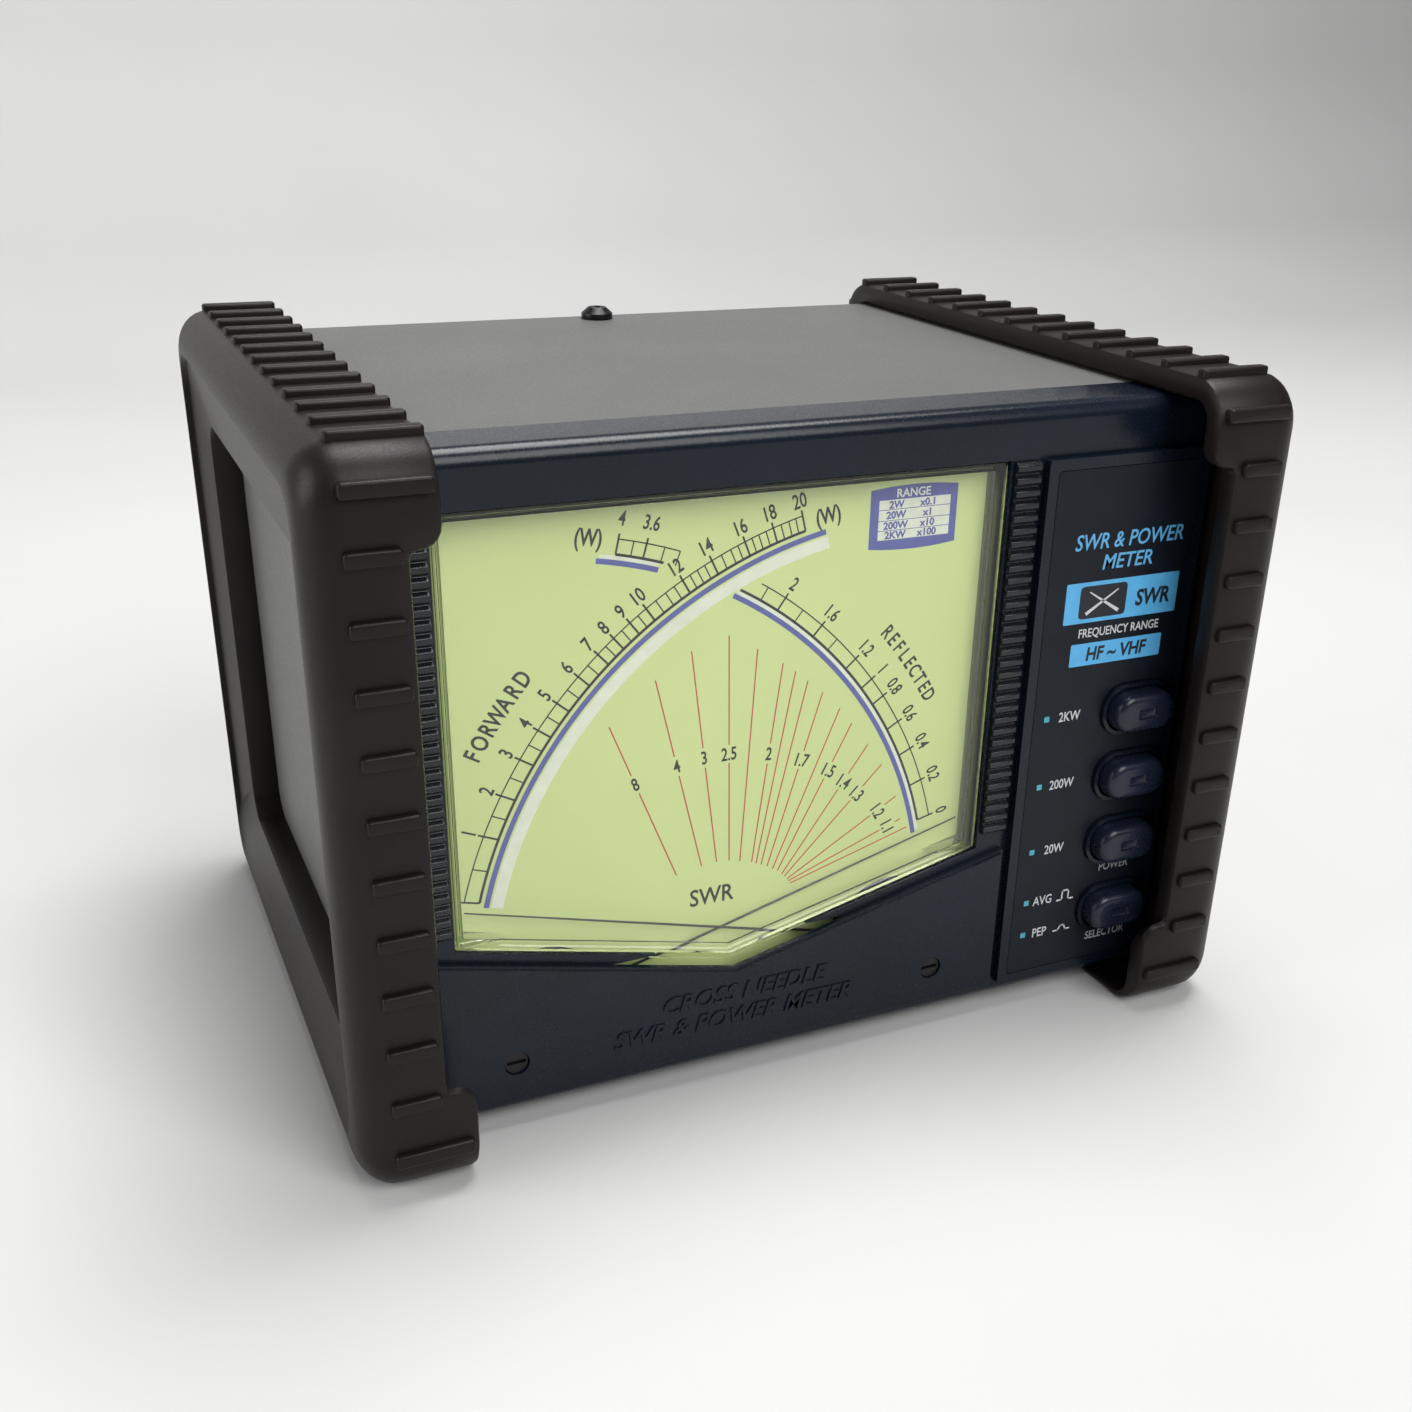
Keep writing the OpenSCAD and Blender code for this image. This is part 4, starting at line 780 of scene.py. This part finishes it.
for button, words in BUTTON_NAMES.items():
    low, high = box_mm(button + "_button")
    z = (low.z + high.z) / 2
    film_patch(square_print, 41.4, 42.4, z - 0.3, z + 0.7, radius=0.1)
    film_word(grey_print, words, 46.4, z + 0.2, 1.65, bold=0.025)
film_word(dim_print, "POWER", 59.8, 24.7, 1.55, bold=0.02)
film_word(dim_print, "SELECTOR", 59.8, 10.9, 1.55, bold=0.02)
for words, z in (("AVG", 20.4), ("PEP", 13.95)):
    film_word(grey_print, words, 45.3, z, 1.7, bold=0.02)
    film_patch(square_print, 41.4, 42.4, z - 0.5, z + 0.5, radius=0.1)


def film_trace(bm, points, width):
    """A thin printed trace through a row of points."""
    for (x0, z0), (x1, z1) in zip(points, points[1:]):
        long = hypot(x1 - x0, z1 - z0)
        ex, ez = (x1 - x0) / long * width / 2, (z1 - z0) / long * width / 2
        u, v = -ez, ex
        ribbon(bm, [(x0 - ex + u, z0 - ez + v), (x1 + ex + u, z1 + ez + v)],
               [(x0 - ex - u, z0 - ez - v), (x1 + ex - u, z1 + ez - v)], FILM_SKIN - INK, FILM_SKIN)


SQUARE_WAVE = ((48.4, 19.6), (49.4, 19.6), (49.4, 21.4), (50.7, 21.4), (50.7, 19.6), (51.7, 19.6))
SPEECH_PEAK = ((48.4, 13.4), (49.3, 13.4), (49.8, 14.3), (50.5, 14.3), (50.9, 13.4), (51.7, 13.4))
TRACE_WIDTH = 0.28
film_trace(grey_print, SQUARE_WAVE, TRACE_WIDTH)
film_trace(grey_print, SPEECH_PEAK, TRACE_WIDTH)
# Two crossed needles in the badge, the sign of this kind of meter.
crossed = bmesh.new()
for (x0, z0), (x1, z1) in (((53.6, 72.9), (47.6, 76.6)), ((47.2, 72.9), (53.2, 76.6))):
    long = hypot(x1 - x0, z1 - z0)
    u, v = -(z1 - z0) / long * 0.3, (x1 - x0) / long * 0.3
    ribbon(crossed, [(x0 + u, z0 + v), (x1 + u / 3, z1 + v / 3)],
           [(x0 - u, z0 - v), (x1 - u / 3, z1 - v / 3)],
           FILM_SKIN - 3 * INK, FILM_SKIN - INK)
sky_ink = screen_ink("sky_blue", "#67b7e8", "#5cabdd", 2, (0.42, 0.52))
badge_ink = screen_ink("badge_blue", "#5fb9ee", "#55aee4", 3, (0.42, 0.52))
badge_black = screen_ink("blue_black", "#18202b", "#131a23", 3, (0.42, 0.52))
teal_ink = screen_ink("teal", "#57b0c4", "#4ca3b7", 2, (0.42, 0.52))
dim_ink = screen_ink("grey", "#a9adb0", "#9b9fa3", 2, (0.42, 0.52))
for name, bm, ink in (("film_print_sky", sky_print, sky_ink), ("film_print_white", grey_print, white_ink),
                      ("film_print_badge", badge_print, badge_ink),
                      ("film_print_badge_dark", badge_dark, badge_black),
                      ("film_print_squares", square_print, teal_ink), ("film_print_grey", dim_print, dim_ink),
                      ("film_print_needles", crossed, white_ink)):
    make(name, bm, ink, "cabinet", "label_film")

# ----------------------------------------------------------
# Push buttons. Navy ABS caps, each with a small pocket in its face, pressed on the switch
# plungers; the three range buttons and the selector are the same moulding.
# ----------------------------------------------------------
# Semi-polished navy ABS: soft small highlights on a dark blue.
gloss_navy = finish("moulded_abs_navy_gloss", "#1b2233", "#161c2b", 4, (0.24, 0.32), 0.6, 0.003,
                    {"Specular IOR Level": 0.4})
BUTTON_ROUND = 3.1
# inset from the cap's outline, and depth behind its front face
BUTTON_STEPS = ((0.0, 8.2), (0.0, 1.6), (0.05, 1.15), (0.2, 0.72), (0.46, 0.36), (0.85, 0.12),
                (1.3, 0.02), (1.6, 0.0))
# the finger pocket: half width, half height, corner round and depth
POCKET_STEPS = ((1.9, 0.95, 0.4, 0.0), (1.75, 0.82, 0.35, 0.42), (1.6, 0.7, 0.3, 0.5))
for button in ("range_2kw", "range_200w", "range_20w", "selector"):
    low, high = box_mm(button + "_button")
    cap = bmesh.new()
    rings = []
    for inset, depth in BUTTON_STEPS:
        outline = rounded_rectangle(low.x + inset, high.x - inset, low.z + inset, high.z - inset,
                                    max(BUTTON_ROUND - inset, 0.2), 8)
        rings.append([(u, low.y + depth, v) for u, v in outline])
    x, z = (low.x + high.x) / 2, (low.z + high.z) / 2
    for half_x, half_z, radius, depth in POCKET_STEPS:
        outline = rounded_rectangle(x - half_x, x + half_x, z - half_z, z + half_z, radius, 8)
        rings.append([(u, low.y + depth, v) for u, v in outline])
    loft(cap, rings)
    make(button + "_cap", cap, gloss_navy, button + "_push", "button_navy", button + "_button", crease=27)

# ----------------------------------------------------------
# Top cover. A sheet-steel wrap in grey enamel that makes the top and both sides, folded
# down at the ends, slid under the bezel and held by the screw at its rear edge.
# ----------------------------------------------------------
softened("top_cover", 0.5, grey_enamel, "grey_paint", steps=3)
# Black-zinc steel screws: dark, with a soft metallic edge.
black_zinc = finish("black_zinc_steel_screw", "#2a2a2c", "#1e1e20", 3, (0.28, 0.42), 0.25, 0.004,
                    {"Metallic": 0.7})
softened("cabinet_screws", 0.12, black_zinc, "black_screw")

# ----------------------------------------------------------
# Side guards. Thick satin mouldings in brown-black PVC that hook over the front, top, rear
# and base of the cabinet, open over its sides, with raised grips along front, top and rear.
# ----------------------------------------------------------
guard_low, guard_high = box_mm("guard_right")
RIDGE_H = 1.0
FLANGE = 3.8
BODY_Y = (guard_low.y + RIDGE_H, guard_high.y - RIDGE_H)
BODY_Z = (guard_low.z, guard_high.z - RIDGE_H)
OUTER_X, LIP_X = guard_high.x, guard_low.x
NECK_X = 64.2                           # where the front and rear lips stop between the end hooks
SIDE_X = 70.0                           # the cabinet's side
HOOK_Z = (16.9, 98.0)                   # the hooks' inner ends
HOOK_ROUND = 3.0
NECK_ROUND = 1.2
FILLET = 6.0
CORNER = 7.0
RIM = 6.5                               # from the outside to the window's rim
RIM_BASE, RIM_TOP = 9.9, 7.0            # the same at the base and the top
LEDGE = (9.0, 9.0, 7.0, 11.0)           # front, rear, base and top widths of the sloping ledge
LEDGE_DROP = 2.5
INNER = (BODY_Y[0] + FLANGE, BODY_Y[1] - FLANGE, 1.5, BODY_Z[1] - FLANGE)
HOOK_STEPS = 5


def guard_heights():
    """Heights down the front at which the lip's edge changes, thickest at the hooks' rounded ends."""
    heights = [60.0, 40.0, 80.0]
    for edge, way in ((HOOK_Z[0], 1), (HOOK_Z[1], -1)):
        for i in range(HOOK_STEPS + 1):
            a = radians(90 * i / HOOK_STEPS)
            heights.append(edge + way * HOOK_ROUND * (1 - sin(a)) - way * 0.02)
            heights.append(edge - way * HOOK_ROUND * (1 - sin(a)) - way * 0.05)
    return sorted(set(round(h, 3) for h in heights))


def lip_at(z):
    """How far in the front or rear lip reaches at a height: full at the hooks, less between them."""
    depth = max(HOOK_Z[0] - z, z - HOOK_Z[1])
    if depth >= HOOK_ROUND:
        return LIP_X
    if depth > 0:
        return LIP_X + HOOK_ROUND - (HOOK_ROUND ** 2 - (HOOK_ROUND - depth) ** 2) ** 0.5
    if depth > -NECK_ROUND:
        return NECK_X - NECK_ROUND + (NECK_ROUND ** 2 - (NECK_ROUND + depth) ** 2) ** 0.5
    return NECK_X


def guard_shell(bm, way):
    """The moulding of one guard, skinned through rings that follow its section right round."""
    z_low, z_high = BODY_Z[0] + CORNER, BODY_Z[1] - CORNER
    shares = [(h - z_low) / (z_high - z_low) for h in guard_heights() if z_low + 0.5 < h < z_high - 0.5]

    def ring(x, y0, y1, z0, z1, radius, lip=False):
        outline = rounded_rectangle(y0, y1, z0, z1, radius, 8, shares)
        template = rounded_rectangle(BODY_Y[0], BODY_Y[1], BODY_Z[0], BODY_Z[1], CORNER, 8, shares)
        points = []
        for (u, v), (_, height) in zip(outline, template):
            points.append(((x + (lip_at(height) if lip else 0)) * way, u, v))
        return points

    def inset(x, amount, radius=None, lip=False):
        return ring(x, BODY_Y[0] + amount, BODY_Y[1] - amount, BODY_Z[0] + amount, BODY_Z[1] - amount,
                    CORNER - amount * 0.5 if radius is None else radius, lip)

    rings = [inset(0.0, 0.8, lip=True), inset(0.25, 0.25, lip=True), inset(0.9, 0.0, lip=True)]
    rings.append(inset(OUTER_X - FILLET, 0.0))
    for i in range(1, 8):
        a = radians(90 * i / 8)
        rings.append(inset(OUTER_X - FILLET + FILLET * sin(a), FILLET * (1 - cos(a))))
    rings.append(inset(OUTER_X, FILLET, 6.2))
    rings.append(inset(OUTER_X, RIM - 0.15, 6.1))
    rings.append(inset(OUTER_X - 0.12, RIM, 6.0))
    rim = (BODY_Y[0] + RIM, BODY_Y[1] - RIM, RIM_BASE, BODY_Z[1] - RIM_TOP)
    rings.append(ring(OUTER_X - 0.85, rim[0] + 0.12, rim[1] - 0.12, rim[2] + 0.12, rim[3] - 0.12, 6.0))
    edge = (rim[0] + LEDGE[0], rim[1] - LEDGE[1], rim[2] + LEDGE[2], rim[3] - LEDGE[3])
    for out, drop, radius in ((0.9, 0.15, 5.6), (0.3, 0.3, 5.2), (0.0, 0.9, 5.0)):
        rings.append(ring(OUTER_X - LEDGE_DROP - drop + 0.15, edge[0] - out, edge[1] + out, edge[2] - out,
                          edge[3] + out, radius))
    rings.append(ring(SIDE_X + 0.05, *edge, 5.0))
    rings.append(ring(SIDE_X + 0.05, *INNER, 3.2))
    rings.append(ring(0.9, *INNER, 3.2, lip=True))
    rings.append(ring(0.2, INNER[0] - 0.3, INNER[1] + 0.3, INNER[2] - 0.3, INNER[3] + 0.3, 3.4, lip=True))
    rings.append(ring(0.0, INNER[0] - 0.7, INNER[1] + 0.7, INNER[2] - 0.6, INNER[3] + 0.7, 3.8, lip=True))
    loft(bm, rings, loop=True)


RIDGE_W = 2.2
RIDGE_PITCH = 9.0
RIDGE_OUT = 72.6
GRIPS_UP, TOP_GRIP_Z = 12, 106.5        # on the front and the rear
GRIPS_BACK, FIRST_GRIP_Y = 13, 7.5      # on the top
TOP_GRIP_DROP = 0.4                     # clears the rounded upper corner
GRIP_SECTION = ((0.0, -0.3), (0.0, 0.62), (0.06, 0.82), (0.2, 0.95), (0.4, 1.0))


def grip(bm, way, x0, x1, place):
    """One raised grip from x0 to x1: a bar with rounded ends and a crowned top, set by place()."""
    rings = []
    for inset, rise in GRIP_SECTION:
        outline = rounded_rectangle(x0 + inset, x1 - inset, -RIDGE_W / 2 + inset, RIDGE_W / 2 - inset,
                                    max(0.6 - inset, 0.1), 4)
        rings.append([place(u * way, v, rise) for u, v in outline])
    loft(bm, rings)


# Brown-black soft PVC, moulded with a fine satin grain: broad soft highlights along its rounded edges.
guard_pvc = finish("moulded_pvc_brown_black", "#1b1512", "#14100e", 14, (0.36, 0.48), 0.3, 0.018,
                    {"Specular IOR Level": 0.24})
for side, way in (("left", -1), ("right", 1)):
    shell = bmesh.new()
    guard_shell(shell, way)
    for i in range(GRIPS_UP):
        z = TOP_GRIP_Z - RIDGE_PITCH * i
        if i == 0:
            z -= TOP_GRIP_DROP
        start = LIP_X + 0.9 if z > HOOK_Z[1] + 1.5 or z < HOOK_Z[0] - 1.5 else NECK_X + 1.0
        grip(shell, way, start, RIDGE_OUT, lambda u, v, rise, z=z: (u, BODY_Y[0] - rise, z + v))
        grip(shell, way, start, RIDGE_OUT, lambda u, v, rise, z=z: (u, BODY_Y[1] + rise, z + v))
    for i in range(GRIPS_BACK):
        y = guard_low.y + FIRST_GRIP_Y + RIDGE_PITCH * i
        grip(shell, way, LIP_X + 0.25, RIDGE_OUT, lambda u, v, rise, y=y: (u, y + v, BODY_Z[1] + rise))
    make("guard_" + side + "_moulded", shell, guard_pvc, "cabinet", "guard", "guard_" + side, crease=40)

# ----------------------------------------------------------
# Studio. A sheet of pale paper swept up behind the set, a broad soft light overhead, a
# weaker one high in front and the weakest from the left.
# ----------------------------------------------------------
SWEEP = ((-900, 0), (600, 0), (800, 40), (950, 160), (1020, 380), (1040, 1400))
SWEEP_HALF = 1600
paper = bpy.data.meshes.new("paper_sweep")
paper.from_pydata([(x * MM, y * MM, z * MM) for y, z in SWEEP for x in (-SWEEP_HALF, SWEEP_HALF)], [],
                  [(2 * i, 2 * i + 1, 2 * i + 3, 2 * i + 2) for i in range(len(SWEEP) - 1)])
paper.shade_smooth()
sweep = bpy.data.objects.new("paper_sweep", paper)
into_scene(sweep)
# Matt white paper: a hair of tooth, almost no sheen.
matt_paper = finish("matt_white_paper", "#d2d2d1", "#cdcdcc", 300, (0.85, 0.95), 1.0, 0.01)
paper.materials.append(matt_paper)
sweep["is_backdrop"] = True

ROOM_LIGHT, ROOM_SEEN = 0.13, 0.8
# name, place, what it faces, size and watts
LIGHTS = (("overhead", (200, 150, 1150), (0, 0, 40), 620, 13.5),
          ("front_high", (250, -900, 850), (0, 0, 50), 700, 9),
          ("left", (-1000, 50, 380), (0, 0, 50), 600, 5))
for name, place, target, size, watts in LIGHTS:
    lamp_data = bpy.data.lights.new(name, "AREA")
    lamp_data.shape = "SQUARE"
    lamp_data.size = size * MM
    lamp_data.energy = watts
    lamp = bpy.data.objects.new(name, lamp_data)
    lamp.location = Vector(place) * MM
    lamp.rotation_euler = (Vector(target) - Vector(place)).to_track_quat("-Z", "Y").to_euler()
    into_scene(lamp)
# The room is dim, so that dark plastics stay dark, and the bare backdrop is seen paler than it lights.
world = bpy.data.worlds.new("studio")
world.use_nodes = True
world.node_tree.nodes.clear()
room_path = add(world, "ShaderNodeLightPath")
room_glow = add(world, "ShaderNodeMapRange", {
    "Value": room_path.outputs["Is Camera Ray"], "To Min": ROOM_LIGHT, "To Max": ROOM_SEEN})
room = add(world, "ShaderNodeBackground", {"Color": srgb("#f3f4f5"), "Strength": room_glow.outputs["Result"]})
add(world, "ShaderNodeOutputWorld", {"Surface": room.outputs["Background"]})
bpy.context.scene.world = world
bpy.context.scene.view_settings.view_transform = "Standard"

low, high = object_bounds()
